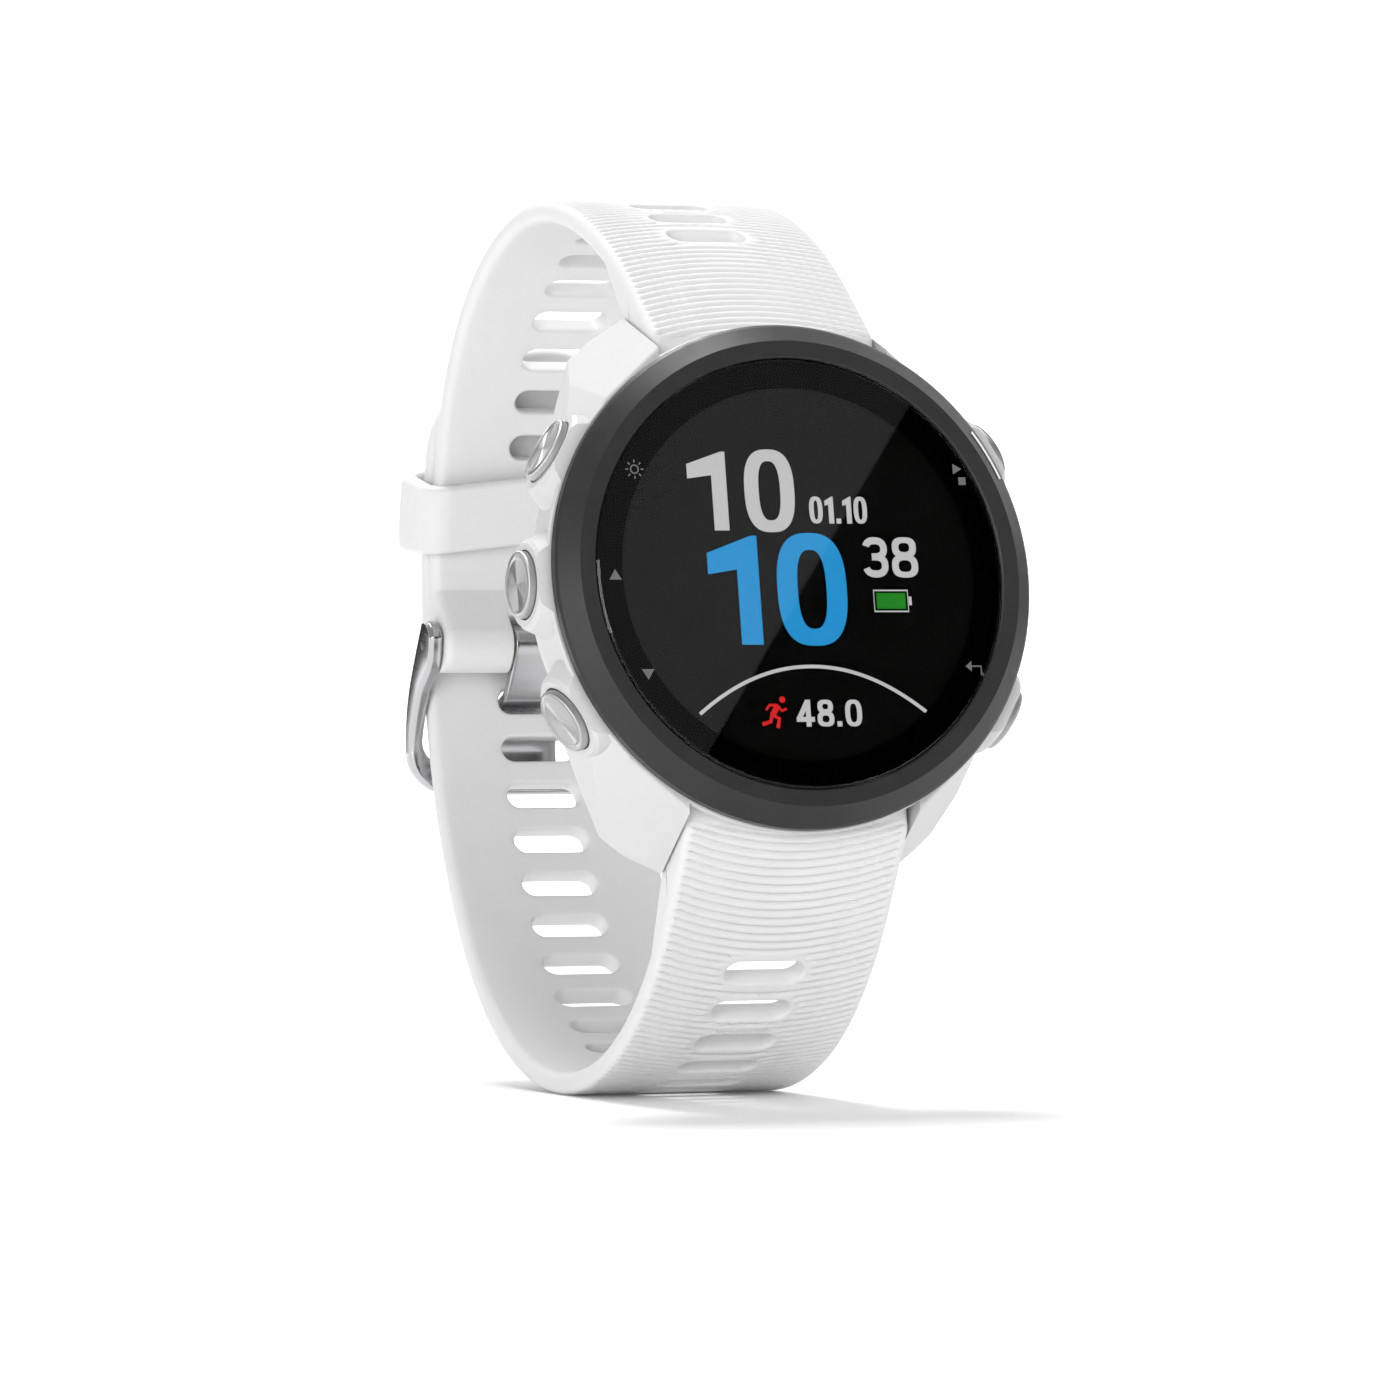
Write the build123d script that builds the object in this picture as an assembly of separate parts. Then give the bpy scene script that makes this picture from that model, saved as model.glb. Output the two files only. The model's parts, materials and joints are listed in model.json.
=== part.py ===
from build123d import *

import os
from math import asin, atan2, cos, degrees, radians, sin

os.makedirs("parts", exist_ok=True)

# A GPS running watch on its buckled strap, in millimetres.
#
# Everything is laid out in the dial's own frame: the centre of the glass is the origin, X points to
# 3 o'clock, Y goes through the case towards the wrist, and Z points to 12 o'clock. The whole watch is then
# leaned back and lifted, so that the lowest line of the strap loop touches the table at the origin.

# ----------------------------------------------------------------------------------------------------
# Driving dimensions
# ----------------------------------------------------------------------------------------------------
LEAN = 10.47                # how far the dial leans back from upright, degrees

BEZEL_R = 21.15             # the watch is 42.3 across
BEZEL_DEPTH = 2.7
CREASE_R = 19.5             # where the flat of the bezel turns into its chamfer
GLASS_R = 18.0
GLASS_T = 0.9
CASE_DEPTH = 12.2           # glass to the top of the sensor dome
CASE_FRONT = 2.75           # the flange that the bezel sits on
CASE_BACK = 11.6
CASE_R = 20.8
CAVITY_R = 17.7
COLLAR_R = 16.4             # opening that the display looks through
LEDGE_R = 16.6              # ledge that the back gasket is pressed on
LEDGE_FRONT = 9.8
GASKET_FRONT = 10.35
COVER_R = 17.5
COVER_FRONT = 10.6
COVER_BACK = 11.7
SCREW_CIRCLE = 15.2
SCREWS = [(SCREW_CIRCLE * cos(radians(a)), SCREW_CIRCLE * sin(radians(a))) for a in (60, 120, 240, 300)]

PANEL_R = 16.2
BOARD_FRONT, BOARD_BACK = 4.2, 5.0
MOTOR_Z = -11.6
WINDOW_R = 6.0              # sensor window
SOCKET_Z = 12.4             # charging socket
SOCKET_W, SOCKET_H = 8.4, 4.2
CONTACTS = [-2.7, -0.9, 0.9, 2.7]
CONTACT_R = 0.5

BUTTON_ANGLES = {"light": 150, "up": 180, "down": 210, "start": 30, "back": -30}
BUTTON_Y = 5.8
BUTTON_R = 2.78
BUTTON_TOP = 23.0           # distance of the pressed face from the dial's axis
BUTTON_CAP = 1.2
BOSS_TOP = 22.25
BOSS_RIM_R = 3.45
BORE_FLOOR = 20.2
SHAFT_R = 1.5
SEAT_R = 17.35              # inner face that the retaining clip bears on

LUG_GAP = 20.5              # between the lugs, for a 20 mm band
BAR_Y, BAR_Z = 8.9, 21.2    # spring-bar axis
POCKET_R = 19.5             # case wall between the lugs
LUG_HOLE_R = 0.5
LUG_HOLE_END = 11.3
HUB_R = 1.5                 # band's eye round the bar

BAR_R, BAR_BORE = 0.75, 0.5
BAR_TIP_R = 0.45
TUBE_START, TUBE_END = -6.6, 9.8
PIN_COLLAR = (-9.7, -8.1)   # thick part of the sliding pin, with the knob in its middle
PIN_END = -4.0
TIP_REACH = 11.15
PIN_TRAVEL = 1.3
KNOB_R, KNOB_L, KNOB_TILT = 0.55, 2.0, 30.0

BAND = 20.0                 # strap width
BAND_T = 1.9
SLOT_L, SLOT_W, SLOT_PITCH = 7.0, 2.3, 4.5

MERGE_TURN = 9.0            # the wedge at the lug leaves the band this many degrees before its end

# Outer faces of the two strap halves: how far behind the glass the loop reaches, then three tangent arcs
# that run from there to the lugs, each with the direction (degrees round from +Y) at which it ends.
LONG_APEX, LONG_RADII, LONG_TURNS = 64.3, (49.0, 28.7, 37.5), (29.0, 124.7, 140.5)
SHORT_APEX, SHORT_RADII, SHORT_TURNS = 62.35, (51.5, 26.2, 38.5), (28.3, 111.6, 138.5)
TAIL_RADIUS = 60.0          # the long half's free end, over the short half
TAIL_END = 31.0
LONG_FIRST_SLOT = 0.2       # height of the slot that the tongue is in
LONG_SLOTS, TAIL_SLOTS = 18, 4
SHORT_LAST_SLOT = 23.6      # along the short half from the back of the loop, to its first slot
SHORT_SLOTS = 12

BUCKLE_Y, BUCKLE_Z = 59.6, 4.8
BUCKLE_PIN_R = 0.75
EYE_R = 2.5
FRAME_HALF, FRAME_GAP = 11.4, 10.15
FRAME_END, CROSSBAR_TOP = -7.8, -4.9
FRAME_CORNER, WINDOW_CORNER = 4.0, 2.2
TONGUE_W = 6.4
TONGUE_T = 0.9
CUTOUT = 7.2

KEEPER_LOW, KEEPER_HIGH = 14.6, 21.0
KEEPER_IN, KEEPER_OUT = 49.25, 55.3   # walls of its cavity, from the centre of the short half's first arc
KEEPER_WALL = 1.35

RUN = 0.05                  # radial clearance of a shaft in its hole


# ----------------------------------------------------------------------------------------------------
# Helpers
# ----------------------------------------------------------------------------------------------------
def turned(*profile):
    """Solid of revolution about the dial's axis, from (radius, depth) corners."""
    return revolve(make_face(Polyline(*profile, close=True)), Axis.Y, 360)


def disc(radius, front, back, x=0.0, z=0.0):
    return Pos(x, (front + back) / 2, z) * Rot(90, 0, 0) * Cylinder(radius, back - front)


def ring(outer, inner, front, back, x=0.0, z=0.0):
    return disc(outer, front, back, x, z) - disc(inner, front - 1, back + 1, x, z)


def block(width, height, front, back, x=0.0, z=0.0):
    return Pos(x, (front + back) / 2, z) * Box(width, back - front, height)


def along_x(radius, x0, x1, y, z):
    return Pos((x0 + x1) / 2, y, z) * Rot(0, 90, 0) * Cylinder(radius, x1 - x0)


def side_cut(face, half_width, centre=0.0):
    """Extrude a face drawn in the (Y, Z) side view to both sides of x = centre."""
    return Pos(centre, 0, 0) * extrude(Plane.YZ * face, amount=half_width, both=True)


def side_face(*corners):
    return make_face(Polyline(*corners, close=True))


def half_space(point, normal, size=60):
    """Everything behind a plane: a big block whose top face lies in it."""
    return Plane(origin=point, z_dir=normal).location * Pos(0, 0, -size / 2) * Box(size, size, size)


def at_button(angle):
    """Frame on the dial's axis at the buttons' depth, its Z axis pointing out along one button."""
    direction = (cos(radians(angle)), 0, sin(radians(angle)))
    return Plane(origin=(0, BUTTON_Y, 0), x_dir=(0, 1, 0), z_dir=direction).location


def rod(radius, low, high):
    return Pos(0, 0, (low + high) / 2) * Cylinder(radius, high - low)


def spun(*profile):
    """Solid of revolution about local Z, from (radius, height) corners."""
    return revolve(Plane.XZ * make_face(Polyline(*profile, close=True)), Axis.Z, 360)


def arcs_of(apex, radii, turns, side):
    """Tangent arcs (centre y, centre z, radius, start, end) from the back of the loop to the lugs."""
    cy, cz, start, arcs = apex - radii[0], 0.0, 0.0, []
    for number, (radius, turn) in enumerate(zip(radii, turns)):
        if number:
            step = radii[number - 1] - radius
            cy += step * cos(radians(start))
            cz += step * sin(radians(start))
        arcs.append((cy, side * cz, radius, side * start, side * turn))
        start = turn
    return arcs


def arc_point(arc, angle, inset=0.0):
    cy, cz, radius, _, _ = arc
    return (cy + (radius - inset) * cos(radians(angle)), cz + (radius - inset) * sin(radians(angle)))


def arc_edges(arcs, inset=0.0):
    return [CenterArc((cy, cz), radius - inset, start, end - start) for cy, cz, radius, start, end in arcs]


def band_face(arcs, thickness):
    """The side view of a strap half: its outer arcs, the same arcs moved in, and two square ends."""
    first, last = arcs[0], arcs[-1]
    ends = [Line(arc_point(first, first[3]), arc_point(first, first[3], thickness)),
            Line(arc_point(last, last[4]), arc_point(last, last[4], thickness))]
    return make_face(arc_edges(arcs) + arc_edges(arcs, thickness) + ends)


def along(arcs, distance):
    """Point and outward direction (degrees) at a distance along a strap half's outer face."""
    for arc in arcs:
        _, _, radius, start, end = arc
        length = radius * radians(abs(end - start))
        if distance <= length or arc is arcs[-1]:
            angle = start + (1 if end > start else -1) * degrees(distance / radius)
            return arc_point(arc, angle), angle
        distance -= length


def slot_cut(arcs, distance):
    (y, z), angle = along(arcs, distance)
    outward = (0, cos(radians(angle)), sin(radians(angle)))
    place = Plane(origin=(0, y, z), x_dir=(1, 0, 0), z_dir=outward)
    return extrude(place * SlotOverall(SLOT_L, SLOT_W), amount=4, both=True)


def mirrored(shape, plane):
    return mirror(shape, about=plane)


# ----------------------------------------------------------------------------------------------------
# Case
# ----------------------------------------------------------------------------------------------------
def lug():
    """The 1 o'clock lug: the wedge left between two slanting faces, the band and the back."""
    inner = LUG_GAP / 2
    outline = make_face(Polyline((inner, 8), (inner, 25), (19, 25), (19, 13), (15, 8), close=True))
    body = Pos(0, CASE_DEPTH, 0) * extrude(Plane.XZ * outline, amount=CASE_DEPTH - CASE_FRONT)
    body &= half_space((10.3, 2.75, 19.4), (0.61, -0.38, 0.69))
    body &= half_space((15.2, 2.95, 15.2), (0.80, -0.33, 0.50))
    body &= half_space((17.4, 6.0, 14.0), (0.95, 0.10, 0.30))
    body &= half_space((10.3, 10.2, 23.45), (0.05, 0.78, 0.62))
    body &= half_space((10.3, 12.0, 18.0), (0.0, 1.0, 0.12))
    outer = body.edges().filter_by(lambda e: e.center().X > inner + 0.05 and e.center().Z > 13.0)
    return fillet(outer, 0.35)


def boss(angle):
    """Flared boss round a button, narrowing from the case wall to the button's rim."""
    neck = (BOSS_RIM_R + 0.3, BOSS_TOP - 0.3)
    waist = ThreePointArc((6.6, 16.5), (4.75, 19.7), neck)
    rim = Line(neck, (BOSS_RIM_R, BOSS_TOP))
    base = Polyline((BOSS_RIM_R, BOSS_TOP), (0, BOSS_TOP), (0, 16.5), (6.6, 16.5))
    flare = revolve(Plane.XZ * make_face([waist, rim] + base.edges()), Axis.Z, 360)
    return at_button(angle) * flare & disc(30, CASE_FRONT, 11.2)


def main_case():
    case = turned((0, CASE_FRONT), (21.2, CASE_FRONT), (21.3, CASE_FRONT + 0.12), (21.3, 3.3), (CASE_R, 4.5),
                  (CASE_R - 0.1, 8.3), (20.2, 10.1), (19.5, 11.2), (18.9, CASE_BACK), (0, CASE_BACK))
    for angle in BUTTON_ANGLES.values():
        case += boss(angle)
    corner = lug()
    upper = corner + mirrored(corner, Plane.YZ)
    case += upper + mirrored(upper, Plane.XY)
    case += disc(18.05, 1.25, CASE_FRONT + 0.5)

    # between the lugs the wall steps in behind the flange, and the end of the band tucks under it
    case -= ring(30, POCKET_R, 4.3, 14) & block(LUG_GAP, 60, 4, 14)

    # front opening, cavity, back ledge and cover recess
    case -= disc(COLLAR_R, 0, 4)
    case -= disc(CAVITY_R, 3.2, LEDGE_FRONT)
    case -= disc(LEDGE_R, LEDGE_FRONT - 1, 14)
    case -= disc(COVER_R + 0.1, GASKET_FRONT, 14)

    for x, z in SCREWS:
        web = Rot(0, -degrees(atan2(z, x)), 0) * block(2.9, 2.2, 5.4, 10.3, 16.4)
        case += disc(1.7, 5.4, COVER_FRONT - 0.05, x, z) + web
        case -= disc(0.7, 5.9, 12, x, z)

    for angle in BUTTON_ANGLES.values():
        place = at_button(angle)
        case += place * rod(2.9, SEAT_R, 18.2)
        case -= place * rod(SHAFT_R + RUN, 15, 22)
        case -= place * rod(BUTTON_R + 0.12, BORE_FLOOR, 25)

    for side in (-1, 1):
        case -= along_x(LUG_HOLE_R, -LUG_HOLE_END, LUG_HOLE_END, BAR_Y, side * BAR_Z)
    return case


def bezel():
    bore = GLASS_R + 0.06
    return turned((bore, 0.2), (bore + 0.14, 0.06), (CREASE_R, 0.0), (20.95, 1.35), (BEZEL_R, 1.6),
                  (BEZEL_R, BEZEL_DEPTH - 0.3), (20.95, BEZEL_DEPTH), (bore + 0.04, BEZEL_DEPTH),
                  (bore, BEZEL_DEPTH - 0.05))


def lens():
    return turned((0, 0.02), (GLASS_R - 0.2, 0.02), (GLASS_R, 0.17), (GLASS_R, GLASS_T), (0, GLASS_T))


def lens_adhesive():
    return ring(GLASS_R - 0.05, COLLAR_R + 0.1, GLASS_T, 1.25)


# ----------------------------------------------------------------------------------------------------
# Display, electronics and battery
# ----------------------------------------------------------------------------------------------------
def display_panel():
    return disc(PANEL_R, 1.0, 2.0)


def backlight():
    return disc(PANEL_R, 2.0, 2.6) - block(9, 2, 1, 3, 0, -PANEL_R)


def display_flex():
    """Ribbon from the panel's edge, down past the chassis and in under the board."""
    fold = side_face((2.0, -15.7), (2.0, -15.4), (2.15, -15.4), (2.15, -15.55), (4.05, -15.55),
                     (4.05, -12.6), (BOARD_FRONT, -12.6), (BOARD_FRONT, -15.7))
    return side_cut(fold, 3.5)


def chassis():
    plate = disc(16.1, 2.65, 3.35) + ring(13.6, 12.8, 3.3, BOARD_FRONT)
    plate -= block(8.2, 4.4, 2, 5, 0, -14.4)
    for x, z in ((-8, 5), (8, 5), (0, -5)):
        plate -= disc(2.4, 2, 4, x, z)
    return plate


def gps_antenna():
    """Metal arc round the top of the cavity."""
    arc = ring(16.4, 15.5, 3.45, 3.95)
    return arc & half_space((0, 0, 9), (0, 0, -1), 60)


def main_board():
    board = disc(14.2, BOARD_FRONT, BOARD_BACK)
    for x, z in SCREWS:
        board -= disc(1.95, 4, 6, x, z)
    return board


def shield_cans():
    can_a = block(10, 9, BOARD_BACK, BOARD_BACK + 1.2, -5.8, 2.5)
    can_b = block(8, 7, BOARD_BACK, BOARD_BACK + 1.2, 5.2, 3.0)
    can_a = fillet(can_a.edges().filter_by(Axis.Y), 0.6)
    can_b = fillet(can_b.edges().filter_by(Axis.Y), 0.6)
    return Compound(children=[can_a, can_b])


def board_chips():
    """Five chips, each by its centre, width and height."""
    chips = ((5.0, -3.6, 3.0, 2.2), (9.6, -3.4, 1.6, 2.6), (-9.0, -5.0, 2.4, 2.0), (-6.0, -4.6, 1.4, 1.4),
             (10.6, 1.0, 1.2, 3.4))
    return Compound(children=[block(w, h, BOARD_BACK, BOARD_BACK + 0.7, x, z) for x, z, w, h in chips])


def battery_pad():
    return block(17, 10, 6.2, 6.4, 0, 2)


def battery():
    cell = block(20.5, 15.5, 6.4, 9.6, 0, 1.2)
    cell = fillet(cell.edges().filter_by(Axis.Y), 2.0)
    return fillet(cell.edges().group_by(Axis.Y)[-1], 0.5)


def motor_can():
    """Coin motor: a closed can with a fixed pin, on the board below the battery."""
    can = disc(4.0, BOARD_BACK, 7.7, 0, MOTOR_Z) - disc(3.7, 5.3, 7.4, 0, MOTOR_Z)
    return can + disc(0.4, 5.3, 7.4, 0, MOTOR_Z)


def motor_rotor():
    """Off-centre weight: half a disc round the can's pin."""
    hub = disc(1.1, 5.7, 7.0, 0, MOTOR_Z)
    weight = disc(3.3, 5.7, 7.0, 0, MOTOR_Z) & block(8, 4, 5, 8, 0, MOTOR_Z - 2)
    return hub + weight - disc(0.4 + RUN, 5, 8, 0, MOTOR_Z)


def buzzer():
    return disc(3.6, 10.2, 10.6, 10.6, 2.0) + disc(2.4, 10.0, 10.2, 10.6, 2.0)


def side_flexes():
    """Two bent ribbons that carry the button switches."""
    ribbon = ring(15.05, 14.9, BUTTON_Y - 1.5, BUTTON_Y + 1.5)
    left = ribbon & half_space((-10.8, 0, 0), (1, 0, 0), 60)
    right = ribbon & half_space((10.8, 0, 0), (-1, 0, 0), 60)
    tail = block(1.0, 2.2, BOARD_BACK, BOARD_BACK + 0.15, -13.6, 0)
    riser = block(0.9, 2.2, BOARD_BACK, BOARD_BACK + 0.15, -14.5, 0)
    left += tail + riser
    right += mirrored(tail + riser, Plane.YZ)
    return Compound(children=[left, right])


def tactile_switches():
    body = Pos(0, 0, 15.4) * Box(2.6, 3.2, 0.5) + rod(0.8, 15.6, 15.85)
    lift = Pos(0, 0, 15.11) * Box(2.6, 1.2, 0.08)
    return Compound(children=[at_button(angle) * (body + lift) for angle in BUTTON_ANGLES.values()])


# ----------------------------------------------------------------------------------------------------
# Back cover and sensor
# ----------------------------------------------------------------------------------------------------
def back_cover():
    cover = turned((0, COVER_FRONT), (COVER_R, COVER_FRONT), (COVER_R, COVER_BACK - 0.3),
                   (COVER_R - 0.3, COVER_BACK), (9.4, COVER_BACK), (8.0, 12.0), (0, 12.0))
    cover -= disc(WINDOW_R, 10, 13)
    cover -= disc(WINDOW_R + 0.6, 10, 11.2)
    mouth = block(SOCKET_W, SOCKET_H, 10, 13, 0, SOCKET_Z)
    cover -= fillet(mouth.edges().filter_by(Axis.Y), 0.8)
    for x, z in SCREWS:
        cover -= disc(0.8, 10, 13, x, z)
        cover -= disc(1.4, 11.0, 13, x, z)
    return cover


def back_gasket():
    return ring(17.45, 16.95, GASKET_FRONT, COVER_FRONT)


def back_screws():
    """Four cover screws with six-lobed sockets."""
    socket = RegularPolygon(0.5, 6)
    screws = []
    for x, z in SCREWS:
        screw = disc(0.7, 6.4, 11.0, x, z) + disc(1.35, 11.0, 11.6, x, z)
        recess = Pos(x, 11.7, z) * extrude(Plane.XZ * socket, amount=0.5)
        screws.append(screw - recess)
    return Compound(children=screws)


def sensor_window():
    """Domed window with a step that locates it in the cover."""
    rim = disc(WINDOW_R + 0.55, 10.65, 11.2)
    bulge = 60.0
    dome = Pos(0, CASE_DEPTH - bulge, 0) * Sphere(bulge) & disc(WINDOW_R - 0.03, 11.1, 13)
    return rim + dome - ring(5.6, 2.4, 10, 11.0) - disc(1.6, 10, 11.0)


def sensor_board():
    return disc(5.8, 9.75, 10.2)


def sensor_diodes():
    """Three emitters and two detectors under the window."""
    places = [(4.0 * cos(radians(a)), 4.0 * sin(radians(a)), 1.3) for a in (90, 210, 330)]
    places += [(0.0, 0.0, 2.0), (4.0 * cos(radians(270)), 4.0 * sin(radians(270)), 1.5)]
    return Compound(children=[block(size, size, 10.2, 10.85, x, z) for x, z, size in places])


def contact_block():
    body = block(SOCKET_W - 0.4, SOCKET_H - 0.4, 9.4, 10.3, 0, SOCKET_Z)
    return body - Compound(children=[disc(CONTACT_R, 9, 11, x, SOCKET_Z) for x in CONTACTS])


def charge_contacts():
    pin = disc(CONTACT_R, 9.2, 10.3, 0, SOCKET_Z) + disc(CONTACT_R + 0.12, 10.3, 10.45, 0, SOCKET_Z)
    return Compound(children=[Pos(x, 0, 0) * pin for x in CONTACTS])


# ----------------------------------------------------------------------------------------------------
# Buttons
# ----------------------------------------------------------------------------------------------------
def button(angle):
    """Bevelled cap on a shaft with a seal groove and a clip groove."""
    low = BUTTON_TOP - BUTTON_CAP
    cap = spun((0, low), (BUTTON_R, low), (BUTTON_R, BUTTON_TOP - 0.35), (BUTTON_R - 0.42, BUTTON_TOP),
               (BUTTON_R - 0.62, BUTTON_TOP), (BUTTON_R - 0.72, BUTTON_TOP - 0.1), (0, BUTTON_TOP - 0.1))
    shaft = rod(SHAFT_R, 16.4, low + 0.1)
    shaft -= rod(SHAFT_R + 1, 18.9, 19.55) - rod(1.0, 18.8, 19.6)
    shaft -= rod(SHAFT_R + 1, 16.9, 17.3) - rod(1.1, 16.8, 17.4)
    return at_button(angle) * (cap + shaft)


def button_seal(angle):
    wire = 0.265
    return at_button(angle) * Pos(0, 0, 19.225) * Torus(SHAFT_R + 0.03 - wire, wire)


def button_clip(angle):
    clip = rod(2.2, 16.92, 17.28) - rod(1.1, 16, 18)
    return at_button(angle) * (clip - Pos(0, 3, 17) * Box(1.6, 6, 3))


def button_spring(angle):
    """Open coil between the floor of the boss and the underside of the cap."""
    wire, coil_r = 0.17, 2.2
    low = BORE_FLOOR + wire + 0.01
    high = BUTTON_TOP - BUTTON_CAP - wire - 0.01
    path = Helix(pitch=(high - low) / 2, height=high - low, radius=coil_r)
    section = Plane(origin=path @ 0, z_dir=path % 0) * Circle(wire)
    return at_button(angle) * Pos(0, 0, low) * sweep(section, path=path)


# ----------------------------------------------------------------------------------------------------
# Quick-release spring bars: a tube with one fixed tip, and a sprung pin with a knob
# ----------------------------------------------------------------------------------------------------
def bar_tube(side):
    y, z = BAR_Y, side * BAR_Z
    tube = along_x(BAR_R, TUBE_START, TUBE_END, y, z) + along_x(BAR_TIP_R, TUBE_END - 0.1, TIP_REACH, y, z)
    return tube - along_x(BAR_BORE, TUBE_START - 1, 1.0, y, z)


def bar_pin(side):
    """Tip, collar and stem, with a knob that leans in towards the wrist, out of the band's inner face."""
    y, z = BAR_Y, side * BAR_Z
    pin = along_x(BAR_TIP_R, -TIP_REACH, PIN_COLLAR[0] + 0.1, y, z) + along_x(BAR_R, *PIN_COLLAR, y, z)
    pin += along_x(BAR_BORE - RUN, PIN_COLLAR[1] - 0.1, PIN_END, y, z)
    knob = Pos(0, KNOB_L / 2 + 0.25, 0) * Rot(90, 0, 0) * Cylinder(KNOB_R, KNOB_L)
    return pin + Pos(sum(PIN_COLLAR) / 2, y, z) * Rot(-side * KNOB_TILT, 0, 0) * knob


def bar_spring(side):
    wire, coil_r = 0.09, 0.36
    low, high = PIN_END + 0.02, 0.98
    path = Helix(pitch=0.62, height=high - low - 2 * wire, radius=coil_r)
    section = Plane(origin=path @ 0, z_dir=path % 0) * Circle(wire)
    coil = sweep(section, path=path)
    return Pos(low + wire, BAR_Y, side * BAR_Z) * Rot(0, 90, 0) * coil


# ----------------------------------------------------------------------------------------------------
# Strap
# ----------------------------------------------------------------------------------------------------
LONG = arcs_of(LONG_APEX, LONG_RADII, LONG_TURNS, -1)
SHORT = arcs_of(SHORT_APEX, SHORT_RADII, SHORT_TURNS, 1)


def lug_end(arcs, side):
    """The thick end of a strap half: a hub round the spring bar, a wedge out to the band, and a lip that runs
    in under the case flange."""
    last = arcs[-1]
    merge = last[4] - side * MERGE_TURN
    shoulder = (7.5, side * 23.3)
    wedge = side_face(arc_point(last, last[4]), shoulder, (BAR_Y, side * BAR_Z),
                      (BAR_Y + 1.4, side * (BAR_Z + 0.5)), arc_point(last, merge, BAND_T),
                      arc_point(last, merge))
    lip = side_face((4.6, side * 16), (4.6, side * 20.4), shoulder,
                    (BAR_Y + 1.05, side * (BAR_Z - 1.05)), (9.8, side * 16))
    hub = along_x(HUB_R, -BAND / 2, BAND / 2, BAR_Y, side * BAR_Z)
    return side_cut(wedge, BAND / 2) + side_cut(lip, BAND / 2) + hub - disc(POCKET_R + 0.15, 0, 20)


def bar_holes(side):
    """Through hole for the spring bar, and the window that its knob slides in."""
    hole = along_x(BAR_R + 0.1, -11, 11, BAR_Y, side * BAR_Z)
    window = Pos(sum(PIN_COLLAR) / 2 + PIN_TRAVEL / 2, BAR_Y, side * BAR_Z) * Rot(-side * KNOB_TILT, 0, 0)
    window *= Pos(0, 2.0, 0) * Box(1.4 + PIN_TRAVEL, 4.4, 2 * BAR_R + 0.2)
    return hole + window


def tail_arc():
    """The free end of the long half, as one arc upwards from the back of the loop."""
    turn = degrees(asin(TAIL_END / TAIL_RADIUS))
    return (LONG_APEX - TAIL_RADIUS, 0.0, TAIL_RADIUS, 0.0, turn)


def lower_strap():
    tail = tail_arc()
    strap = side_cut(band_face(LONG, BAND_T), BAND / 2) + side_cut(band_face([tail], BAND_T), BAND / 2)
    strap += lug_end(LONG, -1)

    # the tail ends in a half round
    turn = radians(tail[4])
    tip_y, tip_z = arc_point(tail, tail[4], BAND_T / 2)
    tip = Plane(origin=(0, tip_y, tip_z), x_dir=(1, 0, 0), z_dir=(0, cos(turn), sin(turn)))
    bullet = Pos(0, -BAND / 2) * Circle(BAND / 2) + Pos(0, -BAND / 2 - 30) * Rectangle(BAND, 60)
    trim = extrude(tip * (Rectangle(40, 40) - bullet), amount=4, both=True)
    strap -= trim & block(40, 16, 50, 70, 0, TAIL_END - 5)

    for number in range(LONG_SLOTS):
        distance = number * SLOT_PITCH - LONG_FIRST_SLOT
        strap -= slot_cut(LONG if distance > 0 else [tail], abs(distance))
    for number in range(1, TAIL_SLOTS + 1):
        strap -= slot_cut([tail], LONG_FIRST_SLOT + number * SLOT_PITCH)
    return strap - bar_holes(-1)


def upper_strap():
    eye_angle = degrees(asin((BUCKLE_Z + 0.4) / SHORT_RADII[0]))
    first = SHORT[0]
    arcs = [(first[0], first[1], first[2], eye_angle, first[4])] + SHORT[1:]
    strap = side_cut(band_face(arcs, BAND_T), BAND / 2) + lug_end(SHORT, 1)

    # the buckle end thickens on its wrist side to hold the bar
    merge = eye_angle + 5.5
    swell = side_face(arc_point(first, eye_angle), arc_point(first, merge), arc_point(first, merge, BAND_T),
                      (BUCKLE_Y - EYE_R + 0.15, BUCKLE_Z + 0.9), (BUCKLE_Y, BUCKLE_Z))
    strap += side_cut(swell, BAND / 2) + along_x(EYE_R, -BAND / 2, BAND / 2, BUCKLE_Y, BUCKLE_Z)
    strap -= along_x(BUCKLE_PIN_R + RUN, -11, 11, BUCKLE_Y, BUCKLE_Z)
    strap -= block(CUTOUT, 6.4, BUCKLE_Y - 6, BUCKLE_Y + 6, 0, BUCKLE_Z - 0.8)
    for number in range(SHORT_SLOTS):
        strap -= slot_cut(SHORT, SHORT_LAST_SLOT + number * SLOT_PITCH)
    return strap - bar_holes(1)


def keeper():
    """Closed loop round both layers of the strap, curved about the centre of the short half's first arc."""
    cy = SHORT[0][0]
    middle = (KEEPER_IN + KEEPER_OUT) / 2
    low, high = degrees(asin(KEEPER_LOW / middle)), degrees(asin(KEEPER_HIGH / middle))

    def sector(inner, outer, start, end):
        return band_face([(cy, 0.0, outer, start, end)], outer - inner)

    half = BAND / 2 + 0.25
    around = sector(KEEPER_IN - KEEPER_WALL, KEEPER_OUT + KEEPER_WALL, low, high)
    loop = side_cut(around, half + KEEPER_WALL)
    loop = fillet(loop.edges().filter_by(GeomType.CIRCLE), 1.2)
    return loop - side_cut(sector(KEEPER_IN, KEEPER_OUT, low - 2, high + 2), half)


# ----------------------------------------------------------------------------------------------------
# Buckle
# ----------------------------------------------------------------------------------------------------
BEHIND = Plane(origin=(0, 80, 0), x_dir=(1, 0, 0), z_dir=(0, -1, 0))      # view from behind the loop


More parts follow.
